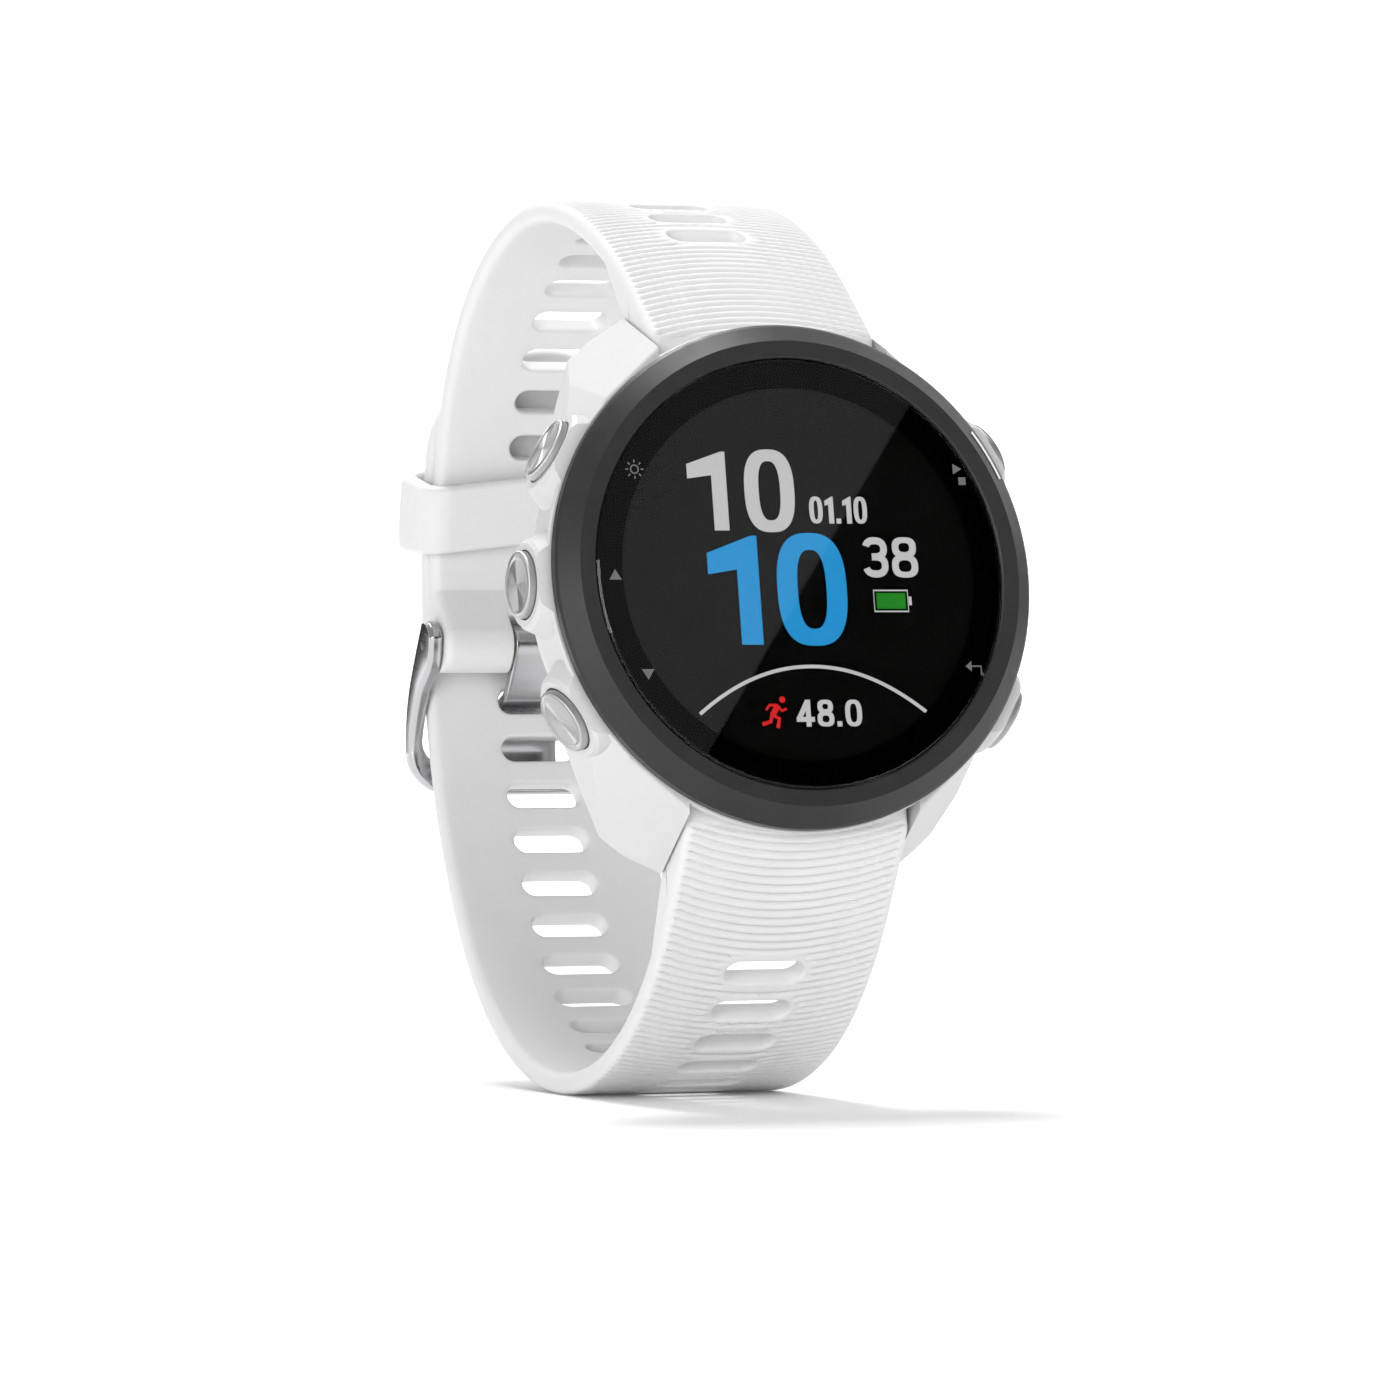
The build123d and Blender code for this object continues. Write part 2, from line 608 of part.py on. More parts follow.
def buckle_frame():
    """U-shaped frame: two curved arms on the bar and a crossbar over the outside of the long half."""
    outer = Spline((BUCKLE_Y + 0.2, BUCKLE_Z + 2.1), (61.9, 4.6), (64.2, 1.6), (65.5, -1.2), (66.2, -4.5),
                   (65.9, FRAME_END))
    inner = Spline((64.75, FRAME_END), (64.7, -4.9), (63.9, -2.4), (61.6, 0.75), (58.6, 2.7),
                   (BUCKLE_Y - 2.15, BUCKLE_Z + 0.2))
    cap = ThreePointArc((BUCKLE_Y - 2.15, BUCKLE_Z + 0.2), (BUCKLE_Y - 1.35, BUCKLE_Z + 1.65),
                        (BUCKLE_Y + 0.2, BUCKLE_Z + 2.1))
    side = make_face([outer, inner, cap, Line((65.9, FRAME_END), (64.75, FRAME_END))])
    top = 25
    outline = RectangleRounded(2 * FRAME_HALF, top - 5 - FRAME_END, FRAME_CORNER)
    window = RectangleRounded(2 * FRAME_GAP, top - CROSSBAR_TOP, WINDOW_CORNER)
    front = Pos(0, (top - 5 + FRAME_END) / 2) * outline - Pos(0, (top + CROSSBAR_TOP) / 2) * window
    frame = side_cut(side, FRAME_HALF) & extrude(BEHIND * front, amount=40)
    return frame - along_x(BUCKLE_PIN_R, -13, 13, BUCKLE_Y, BUCKLE_Z)


def buckle_bar():
    return along_x(BUCKLE_PIN_R, -FRAME_HALF + 0.1, FRAME_HALF - 0.1, BUCKLE_Y, BUCKLE_Z)


def tongue():
    """Flat tongue rolled round the bar; it dips through a slot of the long half and lies on the crossbar."""
    tip_r = TONGUE_W / 2 - 0.4
    middle = [(BUCKLE_Y - 0.9, BUCKLE_Z - 1.3), (60.6, 1.75), (61.9, 0.55), (63.4, 0.15), (65.0, -0.4),
              (66.55, -2.7), (66.95, -4.8), (66.8, -7.6)]
    plate = trace(Spline(*middle), line_width=TONGUE_T)
    body = side_cut(plate, TONGUE_W / 2)
    body += along_x(1.75, -TONGUE_W / 2, TONGUE_W / 2, BUCKLE_Y, BUCKLE_Z)
    outline = Pos(0, 7.7) * Rectangle(TONGUE_W, 26) + Pos(0, FRAME_END + 0.1 + tip_r) * Circle(tip_r)
    body &= extrude(BEHIND * outline, amount=40)
    return body - along_x(BUCKLE_PIN_R + RUN, -6, 6, BUCKLE_Y, BUCKLE_Z)


# ----------------------------------------------------------------------------------------------------
# Stand the watch up on its strap and write the pieces
# ----------------------------------------------------------------------------------------------------
def stand():
    """Lean back, then move the loop's lowest line to the origin."""
    cy, cz, radius, _, _ = LONG[1]
    t = radians(LEAN)
    low_y, low_z = cy + radius * sin(t), cz - radius * cos(t)
    row_y = low_y * cos(t) + low_z * sin(t)
    row_z = -low_y * sin(t) + low_z * cos(t)
    return Pos(0, -row_y, -row_z) * Rot(-LEAN, 0, 0)


PARTS = {
    "main_case": main_case(),
    "bezel": bezel(),
    "lens": lens(),
    "lens_adhesive": lens_adhesive(),
    "display_panel": display_panel(),
    "backlight": backlight(),
    "display_flex": display_flex(),
    "chassis": chassis(),
    "gps_antenna": gps_antenna(),
    "main_board": main_board(),
    "shield_cans": shield_cans(),
    "board_chips": board_chips(),
    "battery_pad": battery_pad(),
    "battery": battery(),
    "motor_can": motor_can(),
    "motor_rotor": motor_rotor(),
    "buzzer": buzzer(),
    "side_flexes": side_flexes(),
    "tactile_switches": tactile_switches(),
    "back_cover": back_cover(),
    "back_gasket": back_gasket(),
    "back_screws": back_screws(),
    "sensor_window": sensor_window(),
    "sensor_board": sensor_board(),
    "sensor_diodes": sensor_diodes(),
    "contact_block": contact_block(),
    "charge_contacts": charge_contacts(),
    "lower_strap": lower_strap(),
    "upper_strap": upper_strap(),
    "keeper": keeper(),
    "buckle_frame": buckle_frame(),
    "buckle_bar": buckle_bar(),
    "tongue": tongue(),
}
for name, angle in BUTTON_ANGLES.items():
    PARTS["button_" + name] = button(angle)
    PARTS["seal_" + name] = button_seal(angle)
    PARTS["clip_" + name] = button_clip(angle)
    PARTS["spring_" + name] = button_spring(angle)
for name, side in (("upper", 1), ("lower", -1)):
    PARTS[name + "_bar_tube"] = bar_tube(side)
    PARTS[name + "_bar_pin"] = bar_pin(side)
    PARTS[name + "_bar_spring"] = bar_spring(side)

place = stand()
for name, shape in PARTS.items():
    export_step(place * shape, f"parts/{name}.step")
print("pieces", len(PARTS), "dial centre at", (place * Vertex(0, 0, 0)).center())
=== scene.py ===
import json
from math import asin, atan2, cos, degrees, pi, radians, sin

import bmesh
import bpy
import numpy as np
from mathutils import Matrix, Vector
from mathutils.geometry import delaunay_2d_cdt


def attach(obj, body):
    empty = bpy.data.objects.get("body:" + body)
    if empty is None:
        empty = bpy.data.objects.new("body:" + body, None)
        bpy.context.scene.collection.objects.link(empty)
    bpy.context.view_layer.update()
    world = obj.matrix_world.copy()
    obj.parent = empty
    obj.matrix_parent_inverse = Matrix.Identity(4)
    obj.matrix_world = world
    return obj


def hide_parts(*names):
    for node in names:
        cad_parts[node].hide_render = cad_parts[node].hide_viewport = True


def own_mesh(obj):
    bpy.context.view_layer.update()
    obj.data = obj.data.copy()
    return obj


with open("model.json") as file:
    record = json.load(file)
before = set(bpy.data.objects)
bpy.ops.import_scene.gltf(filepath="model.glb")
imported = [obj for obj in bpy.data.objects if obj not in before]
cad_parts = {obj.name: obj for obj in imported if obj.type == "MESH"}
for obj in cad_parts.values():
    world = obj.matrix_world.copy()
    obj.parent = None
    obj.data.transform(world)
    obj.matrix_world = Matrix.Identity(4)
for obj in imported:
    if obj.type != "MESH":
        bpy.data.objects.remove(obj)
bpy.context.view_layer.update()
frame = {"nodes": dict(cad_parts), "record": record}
scene = bpy.context.scene
scene.view_settings.view_transform = "Standard"
scene.view_settings.look = "None"
NODES = frame["nodes"]
MOUNTS = {mount["name"]: mount for mount in frame["record"]["mounts"]}
MM = 0.001

# --------------------------------------------------
# Places. The dial's own frame has its origin at the centre of the glass, X to 3 o'clock, Y into the case and
# Z to 12 o'clock; sizes in it are in millimetres.
# --------------------------------------------------
OUT = Vector(MOUNTS["lens_face"]["axis"]).normalized()
RIGHT = Vector((1, 0, 0))
UP = OUT.cross(RIGHT)
LENS_FRONT = 0.02
CENTRE = Vector(MOUNTS["lens_face"]["pos_m"]) + OUT * LENS_FRONT * MM


def to_row(points):
    """Dial-frame millimetres to row-frame metres, for an array of points."""
    points = np.asarray(points, float) * MM
    axes = np.array([RIGHT, -OUT, UP])
    return points @ axes + np.array(CENTRE)


def dial_matrix():
    """The dial's frame as a matrix, still in metres."""
    turn = Matrix((RIGHT, -OUT, UP)).transposed().to_4x4()
    return Matrix.Translation(CENTRE) @ turn


# --------------------------------------------------
# Camera: level with the watch's middle, 22 degrees to the left of the dial, through a long lens
# --------------------------------------------------
SENSOR = 36.0
LENS = 210.9
AZIMUTH = radians(-22.05)
DISTANCE = 0.6743
ASIDE, ABOVE = 0.00839, 0.00391     # the dial's centre from the optical axis, to the right and up
DIP = radians(0.559)

back = Vector((sin(AZIMUTH), -cos(AZIMUTH), 0))
right = Vector((cos(AZIMUTH), sin(AZIMUTH), 0))
camera = bpy.data.objects.new("camera", bpy.data.cameras.new("camera"))
camera.data.lens = LENS
camera.data.sensor_width = SENSOR
camera.data.clip_start = 0.01
camera.data.clip_end = 50
camera.location = CENTRE + back * DISTANCE - right * ASIDE - Vector((0, 0, ABOVE))
camera.rotation_euler = (pi / 2 - DIP, 0, AZIMUTH)
scene.collection.objects.link(camera)
scene.camera = camera


# --------------------------------------------------
# Materials
# --------------------------------------------------
MATERIALS = {}
NOISE_LOW, NOISE_HIGH = 0.3, 0.7             # the range that noise mostly keeps to


def shader(name, colour, roughness, **sockets):
    """A new material whose uniform values sit on the shader's own sockets."""
    material = bpy.data.materials.new(name)
    material.use_nodes = True
    surface = material.node_tree.nodes["Principled BSDF"]
    surface.inputs["Base Color"].default_value = (*colour, 1.0)
    surface.inputs["Roughness"].default_value = roughness
    for socket, value in sockets.items():
        surface.inputs[socket.replace("_", " ")].default_value = value
    MATERIALS[name] = material
    return material


def node(material, kind, **settings):
    made = material.node_tree.nodes.new("ShaderNode" + kind)
    for name, value in settings.items():
        if name in made.inputs:
            made.inputs[name].default_value = value
        else:
            setattr(made, name, value)
    return made


def link(material, source, target):
    material.node_tree.links.new(source, target)


def surface_of(material):
    return material.node_tree.nodes["Principled BSDF"]


def noise(material, scale_mm, detail, stretch):
    """Noise whose features are about scale_mm across, in the row's own coordinates."""
    place = node(material, "TexCoord")
    fit = node(material, "Mapping")
    fit.inputs["Scale"].default_value = [s / (scale_mm * MM) for s in stretch]
    cloud = node(material, "TexNoise", Scale=1.0, Detail=detail, Roughness=0.55)
    link(material, place.outputs["Object"], fit.inputs["Vector"])
    link(material, fit.outputs["Vector"], cloud.inputs["Vector"])
    return cloud.outputs["Fac"]


def ramp(material, source, low, high):
    """Colours from low to high as a noise goes from one end of its usual range to the other."""
    made = node(material, "ValToRGB")
    made.color_ramp.elements[0].position = NOISE_LOW
    made.color_ramp.elements[0].color = (*low, 1)
    made.color_ramp.elements[1].position = NOISE_HIGH
    made.color_ramp.elements[1].color = (*high, 1)
    link(material, source, made.inputs["Fac"])
    return made.outputs["Color"]


def mottle(material, low, high, scale_mm, detail=3.0, stretch=(1, 1, 1)):
    """Base colour that drifts between two close tones."""
    colour = ramp(material, noise(material, scale_mm, detail, stretch), low, high)
    link(material, colour, surface_of(material).inputs["Base Color"])


def worn(material, low, high, scale_mm, stretch=(1, 1, 1)):
    """Roughness that drifts between two values."""
    span = node(material, "MapRange")
    span.inputs["From Min"].default_value = NOISE_LOW
    span.inputs["From Max"].default_value = NOISE_HIGH
    span.inputs["To Min"].default_value = low
    span.inputs["To Max"].default_value = high
    link(material, noise(material, scale_mm, 4.0, stretch), span.inputs["Value"])
    link(material, span.outputs["Result"], surface_of(material).inputs["Roughness"])


def grain(material, scale_mm, depth_mm, stretch=(1, 1, 1)):
    """Fine surface relief, added on top of any relief that is there already."""
    bump = node(material, "Bump", Strength=1.0, Distance=depth_mm * MM)
    link(material, noise(material, scale_mm, 2.0, stretch), bump.inputs["Height"])
    normal = surface_of(material).inputs["Normal"]
    if normal.links:
        link(material, normal.links[0].from_socket, bump.inputs["Normal"])
    link(material, bump.outputs["Normal"], normal)


def tones(colour, drift):
    """Two close tones, one on each side of a colour."""
    return [c * (1 - drift) for c in colour], [min(1.0, c * (1 + drift)) for c in colour]


def moulded(name, colour, roughness, grain_mm=0.12, depth_mm=0.004, drift=0.03, **sockets):
    """Moulded plastic or rubber: a close mottle, uneven gloss and a fine spark-eroded grain."""
    material = shader(name, colour, roughness, **sockets)
    mottle(material, *tones(colour, drift), 3.0)
    worn(material, roughness - 0.05, roughness + 0.05, 1.5)
    grain(material, grain_mm, depth_mm)


def polished(name, colour, roughness, drift=0.1, **sockets):
    """Smooth window: a close mottle and faint smears in its gloss."""
    material = shader(name, colour, roughness, **sockets)
    mottle(material, *tones(colour, drift), 3.0)
    worn(material, roughness * 0.7, roughness * 1.3, 4.0)


def metal(name, colour, roughness, stretch=(1, 1, 1), grain_mm=0.15, depth_mm=0.001, drift=0.06):
    """Metal with a brushed or cast grain that runs along the axes with a small stretch."""
    material = shader(name, colour, roughness, Metallic=1.0)
    mottle(material, *tones(colour, drift), grain_mm * 2, 4.0, stretch)
    worn(material, roughness * 0.8, roughness * 1.25, grain_mm * 3, stretch)
    grain(material, grain_mm, depth_mm, stretch=stretch)


def glass(name, ior):
    """Clear glass with the faintest smears."""
    material = shader(name, (1.0, 1.0, 1.0), 0.0, Transmission_Weight=1.0, IOR=ior)
    worn(material, 0.0, 0.005, 6.0)


def ink_and_painted_glow(name, colour, glow):
    """Picture elements: a dark base colour plus a painted glow, an emission that stands in for the light the
    display reflects under the glass; slightly uneven.
    """
    unlit = [c * 0.3 for c in colour]
    material = shader(name, unlit, 0.5, Emission_Color=(*colour, 1), Emission_Strength=glow)
    worn(material, 0.4, 0.6, 0.5)
    grain(material, 0.08, 0.0005)


RING_WIDTH, RING_DEPTH = 0.16, 0.0008        # of the marks that spinning leaves


def brushed_round(name, colour, roughness):
    """Metal spun on a lathe: fine rings round its own Z, which draw a highlight out into a fan."""
    material = shader(name, colour, roughness, Metallic=1.0, Anisotropic=1.0)
    surface = surface_of(material)
    split, flat = node(material, "SeparateXYZ"), node(material, "CombineXYZ")
    link(material, node(material, "TexCoord").outputs["Object"], split.inputs["Vector"])
    for axis in "XY":
        link(material, split.outputs[axis], flat.inputs[axis])
    radius = node(material, "VectorMath", operation="LENGTH")
    link(material, flat.outputs["Vector"], radius.inputs[0])
    rings = node(material, "TexNoise", noise_dimensions="1D", Scale=1 / (RING_WIDTH * MM), Detail=2.0)
    link(material, radius.outputs["Value"], rings.inputs["W"])
    tone = ramp(material, rings.outputs["Fac"], [c * 0.93 for c in colour], [c * 1.07 for c in colour])
    link(material, tone, surface.inputs["Base Color"])
    bump = node(material, "Bump", Strength=1.0, Distance=RING_DEPTH * MM)
    link(material, rings.outputs["Fac"], bump.inputs["Height"])
    link(material, bump.outputs["Normal"], surface.inputs["Normal"])
    turn = node(material, "Tangent", direction_type="RADIAL", axis="Z")
    link(material, turn.outputs["Tangent"], surface.inputs["Tangent"])


moulded("case_white", (0.56, 0.56, 0.56), 0.50, grain_mm=0.16, depth_mm=0.006, drift=0.012)
moulded("bezel_grey", (0.020, 0.020, 0.021), 0.40, grain_mm=0.10, depth_mm=0.005, drift=0.06,
        Specular_IOR_Level=0.35)
glass("cover_glass", 1.33)
moulded("adhesive", (0.010, 0.010, 0.010), 0.7)
polished("display_black", (0.0046, 0.0046, 0.0047), 0.025, IOR=1.12)
moulded("light_guide", (0.85, 0.87, 0.90), 0.2, depth_mm=0.001)
moulded("polyimide", (0.50, 0.19, 0.02), 0.35, depth_mm=0.001, drift=0.12)
moulded("chassis_black", (0.02, 0.02, 0.022), 0.55)
metal("antenna_metal", (0.72, 0.66, 0.55), 0.3)
moulded("board_green", (0.01, 0.10, 0.05), 0.35, depth_mm=0.002, drift=0.2)
metal("can_metal", (0.72, 0.72, 0.74), 0.32)
moulded("chip_black", (0.012, 0.012, 0.013), 0.5)
moulded("foam_grey", (0.10, 0.10, 0.11), 0.95, grain_mm=0.3, depth_mm=0.05, drift=0.3)
metal("battery_foil", (0.62, 0.63, 0.65), 0.4, grain_mm=0.5, depth_mm=0.01)
metal("motor_steel", (0.66, 0.66, 0.67), 0.28)
metal("tungsten", (0.22, 0.22, 0.23), 0.5, grain_mm=0.1, depth_mm=0.004)
metal("buzzer_brass", (0.72, 0.50, 0.20), 0.3)
moulded("back_black", (0.018, 0.018, 0.020), 0.48, grain_mm=0.14, depth_mm=0.006, drift=0.1)
moulded("seal_rubber", (0.012, 0.012, 0.012), 0.6)
metal("screw_steel", (0.55, 0.55, 0.56), 0.3)
polished("sensor_glass", (0.010, 0.010, 0.012), 0.06, Coat_Weight=0.6)
moulded("diode", (0.75, 0.78, 0.66), 0.15, depth_mm=0.0005)
metal("gold_contact", (0.85, 0.60, 0.24), 0.25)
metal("steel_polished", (0.62, 0.61, 0.60), 0.25)
metal("buckle_steel", (0.47, 0.47, 0.48), 0.19, stretch=(0.05, 1, 1), grain_mm=0.05, depth_mm=0.00008,
      drift=0.012)
metal("spring_steel", (0.50, 0.50, 0.51), 0.3)
moulded("strap_white", (0.67, 0.67, 0.67), 0.55, grain_mm=0.08, depth_mm=0.002, drift=0.01)
moulded("mask_black", (0.0008, 0.0008, 0.0008), 0.8, depth_mm=0.0002, Specular_IOR_Level=0.0)
# Display graphics: their emission is painted glow, standing in for the light the display reflects.
ink_and_painted_glow("ink_grey_painted_glow", (0.50, 0.50, 0.50), 0.85)
ink_and_painted_glow("ink_faint_painted_glow", (0.14, 0.14, 0.14), 0.85)
ink_and_painted_glow("ink_blue_painted_glow", (0.006, 0.235, 0.53), 0.95)
ink_and_painted_glow("ink_green_painted_glow", (0.004, 0.18, 0.004), 0.95)
ink_and_painted_glow("ink_red_painted_glow", (0.55, 0.006, 0.006), 0.95)
moulded("ink_line", (0.80, 0.80, 0.80), 0.4)
brushed_round("button_face", (0.49, 0.49, 0.49), 0.42)
# Near-black metal on the buckle's bar ends: painted shade of the holes in the buckle's arms.
metal("pin_painted_hole_shade", (0.10, 0.10, 0.10), 0.35)

for subpart in frame["record"]["subparts"]:
    mesh = NODES[subpart["node"]].data
    mesh.materials.clear()
    mesh.materials.append(MATERIALS[subpart["material_slot"]])

# --------------------------------------------------
# Curves in the side view: points (Y, Z) of the dial's frame, in millimetres
# --------------------------------------------------
STEP = 0.1


def arc(cy, cz, radius, start, end):
    """Points along an arc, its angles in degrees round from +Y."""
    count = max(2, int(abs(radians(end - start)) * radius / STEP))
    angles = np.radians(np.linspace(start, end, count + 1))
    return np.stack([cy + radius * np.cos(angles), cz + radius * np.sin(angles)], 1)


def straight(start, end):
    count = max(2, int(np.hypot(*(np.subtract(end, start))) / STEP))
    return np.linspace(start, end, count + 1)


def on_circle(cy, cz, radius, angle):
    return np.array([cy + radius * cos(radians(angle)), cz + radius * sin(radians(angle))])


def smooth_through(knots, count=24):
    """Catmull-Rom curve through a few points."""
    knots = np.asarray(knots, float)
    padded = np.vstack([2 * knots[0] - knots[1], knots, 2 * knots[-1] - knots[-2]])
    t = np.linspace(0, 1, count, endpoint=False)[:, None]
    spans = []
    for a, b, c, d in zip(padded, padded[1:], padded[2:], padded[3:]):
        bend, twist = 2 * a - 5 * b + 4 * c - d, 3 * b - a - 3 * c + d
        spans.append(0.5 * (2 * b + (c - a) * t + bend * t ** 2 + twist * t ** 3))
    return np.vstack(spans + [knots[-1:]])


class Track:
    """A curve made of segments that join, walked by distance. side is 1 where outward is to its right."""

    def __init__(self, segments, side):
        self.points = np.vstack([segments[0]] + [s[1:] for s in segments[1:]])
        steps = np.hypot(*np.diff(self.points, axis=0).T)
        self.distance = np.r_[0, np.cumsum(steps)]
        ends = np.cumsum([len(segments[0]) - 1] + [len(s) - 1 for s in segments[1:]])
        self.marks = np.r_[0, self.distance[ends]]
        tangent = np.gradient(self.points, axis=0)
        tangent /= np.hypot(*tangent.T)[:, None]
        self.normals = side * np.stack([tangent[:, 1], -tangent[:, 0]], 1)

    def at(self, s, lift):
        """Side-view points at distances s, raised by lift along the outward normal."""
        place = [np.interp(s, self.distance, self.points[:, i]) for i in (0, 1)]
        normal = [np.interp(s, self.distance, self.normals[:, i]) for i in (0, 1)]
        return [p + lift * n for p, n in zip(place, normal)]

    @property
    def end(self):
        return self.distance[-1]


def smoothstep(low, high, value):
    t = np.clip((value - low) / (high - low), 0, 1)
    return t * t * (3 - 2 * t)


def fall(distance, radius):
    """How far a rounded edge has dropped, at a distance in from it."""
    inside = np.clip(radius - distance, 0, radius)
    return radius - np.sqrt(radius ** 2 - inside ** 2)


def ring_steps(radius, count=4):
    """Distances in from a rounded edge at even turns of its round."""
    return [radius * (1 - cos(n * pi / 2 / count)) for n in range(count + 1)]


def linked(name, data):
    """A new object in the scene."""
    made = bpy.data.objects.new(name, data)
    scene.collection.objects.link(made)
    return made


def new_object(name, mesh, material, body, *replaced, smooth=40, slot=None, place=None):
    """Link a mesh as a finished piece that rides on a body."""
    mesh.name = name
    made = linked(name, mesh)
    if place:
        made.matrix_world = place
    mesh.materials.clear()
    mesh.materials.append(MATERIALS[material])
    mesh.shade_smooth()
    mesh.set_sharp_from_angle(angle=radians(smooth))
    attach(made, body)
    if replaced:
        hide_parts(*replaced)
    return made


def mesh_of(points, faces):
    """A mesh with its doubled points merged and its faces turned outwards."""
    mesh = bpy.data.meshes.new("mesh")
    mesh.from_pydata([tuple(p) for p in to_row(points)], [], faces)
    shape = bmesh.new()
    shape.from_mesh(mesh)
    bmesh.ops.remove_doubles(shape, verts=shape.verts, dist=2e-6)
    bmesh.ops.dissolve_degenerate(shape, edges=shape.edges, dist=1e-6)
    bmesh.ops.recalc_face_normals(shape, faces=shape.faces)
    shape.to_mesh(mesh)
    shape.free()
    return mesh


def full_turn(count):
    """Angles of a closed ring."""
    return np.linspace(0, 2 * pi, count, endpoint=False)


def quads(rounds, around, loop=True, ring=False, first=0):
    """Faces of a grid of rounds by around points; loop closes each round, ring joins the last round to the
    first."""
    faces = []
    for n in range(rounds if ring else rounds - 1):
        low, high = first + n * around, first + (n + 1) % rounds * around
        for k in range(around if loop else around - 1):
            m = (k + 1) % around
            faces.append((low + k, low + m, high + m, high + k))
    return faces


def plate(outer, inner, flat, edges, kept, outer_lift, inner_lift, shift=None):
    """Solid between two curved sheets that share one flat layout.

    flat holds points (distance along the outer track, x), edges the pairs that a triangle may not cross, and
    kept says which triangles stay, from their centres. The lifts raise each sheet outwards, point by point.
    """
    flat = np.asarray(flat, float)
    points, _, faces, _, _, _ = delaunay_2d_cdt([Vector(p) for p in flat], edges, [], 0, 1e-6, True)
    layout = np.array([tuple(p) for p in points])
    faces = np.array([tuple(f) for f in faces])
    faces = faces[kept(*layout[faces].mean(1).T)]
    s, x = layout.T
    s_inner = np.interp(s, outer.marks, inner.marks)
    sheets = []
    for y, z in (outer.at(s, outer_lift(s, x)), inner.at(s_inner, inner_lift(s, x))):
        sheet = np.stack([x, y, z], 1)
        sheets.append(sheet if shift is None else shift(sheet))
    count = len(layout)
    sides = {}
    for a, b, c in faces:
        for edge in ((a, b), (b, c), (c, a)):
            key = (min(edge), max(edge))
            sides[key] = None if key in sides else edge
    walls = [(b, a, a + count, b + count) for a, b in (e for e in sides.values() if e is not None)]
    upper = [tuple(f) for f in faces]
    lower = [(c + count, b + count, a + count) for a, b, c in faces]
    return mesh_of(np.vstack(sheets), upper + lower + walls)


def carve(piece, cutter_mesh):
    """Cut one mesh out of a piece for good."""
    cutter = linked("cutter", cutter_mesh)
    cut = piece.modifiers.new("cut", "BOOLEAN")
    cut.operation = "DIFFERENCE"
    cut.solver = "EXACT"
    cut.object = cutter
    bpy.context.view_layer.update()
    evaluated = piece.evaluated_get(bpy.context.evaluated_depsgraph_get())
    result = bpy.data.meshes.new_from_object(evaluated)
    piece.modifiers.clear()
    piece.data = result
    bpy.data.objects.remove(cutter)


# --------------------------------------------------
# Strap
# --------------------------------------------------
BAND_T = 1.9
HALF = 10.0
EDGE_ROUND = 0.75
SLOT_ROUND = 0.28
SLOT_L, SLOT_W, SLOT_PITCH = 7.0, 2.3, 4.5
RIB_PITCH, RIB_BOW, GROOVE_DEPTH, GROOVE_WIDTH = 0.8, 2.1, 0.26, 0.12
RIB_SAMPLES = (-0.2, -0.09, 0.0, 0.09, 0.2, 0.4)
BAR_Y, BAR_Z, HUB_R = 8.9, 21.2, 1.5
LIP_FRONT, LIP_ROUND, LIP_TOP = 4.45, 1.5, 16.9
CASE_WALL = 19.68
LONG_APEX, LONG_RADII, LONG_TURNS = 64.3, (49.0, 28.7, 37.5), (29.0, 124.7, 140.5)
SHORT_APEX, SHORT_RADII, SHORT_TURNS = 62.35, (51.5, 26.2, 38.5), (28.3, 111.6, 138.5)
TAIL_RADIUS, TAIL_END = 60.0, 31.0
BUCKLE_Y, BUCKLE_Z, EYE_R = 59.6, 4.8, 2.5
NOTCH_HALF, NOTCH_DEPTH = 3.6, 2.1          # the cut-out that the tongue works in; its depth is past the eye
LONG_FIRST_SLOT, LONG_SLOTS, TAIL_SLOTS = 0.2, 18, 4
SHORT_FIRST_SLOT, SHORT_SLOTS = 23.6, 12    # from the back of the loop, along the short half
RIBS_PAST_LUG = 1.2
MERGE_TURN = 9.0            # the wedge at the lug leaves the band this many degrees before its end


def arcs_of(apex, radii, turns):
    """Tangent arcs (centre y, centre z, radius, start, end) from the back of the loop up to the lugs."""
    cy, cz, start, arcs = apex - radii[0], 0.0, 0.0, []
    for number, (radius, turn) in enumerate(zip(radii, turns)):
        if number:
            step = radii[number - 1] - radius
            cy += step * cos(radians(start))
            cz += step * sin(radians(start))
        arcs.append((cy, cz, radius, start, turn))
        start = turn
    return arcs


def lug_segments(last):
    """Outer and inner segments of the thick end: the band runs on straight, turns in under the flange and up
    the case wall; inside, a wedge leads to a hub round the spring bar."""
    cy, cz, radius, start, end = last
    merge = end - MERGE_TURN
    corner = on_circle(cy, cz, radius, end)
    outwards = np.array([cos(radians(end)), sin(radians(end))])
    ahead = np.array([-outwards[1], outwards[0]])
    run = (corner[0] - LIP_ROUND * (1 + outwards[0]) - LIP_FRONT) / outwards[1]
    turn_from = corner + ahead * run
    lip_centre = turn_from - LIP_ROUND * outwards
    lip = arc(*lip_centre, LIP_ROUND, end, 180)
    lip = np.vstack([lip, straight(lip[-1], (lip[-1][0], LIP_TOP))[1:]])
    outer = [arc(cy, cz, radius, start, merge), arc(cy, cz, radius, merge, end),
             straight(corner, turn_from), lip]
    hub = arc(BAR_Y, BAR_Z, HUB_R, 25, -60)
    inner = [arc(cy, cz, radius - BAND_T, start, merge),
             straight(on_circle(cy, cz, radius - BAND_T, merge), hub[0]),
             hub,
             straight(hub[-1], (hub[-1][0], LIP_TOP))]
    return outer, inner


def flipped(segments):
    """The same curve below the dial's middle instead of above it."""
    return [segment * (1, -1) for segment in segments]


def slot_distance(s, x, centre):
    return np.hypot(np.maximum(abs(x) - (SLOT_L - SLOT_W) / 2, 0), s - centre) - SLOT_W / 2


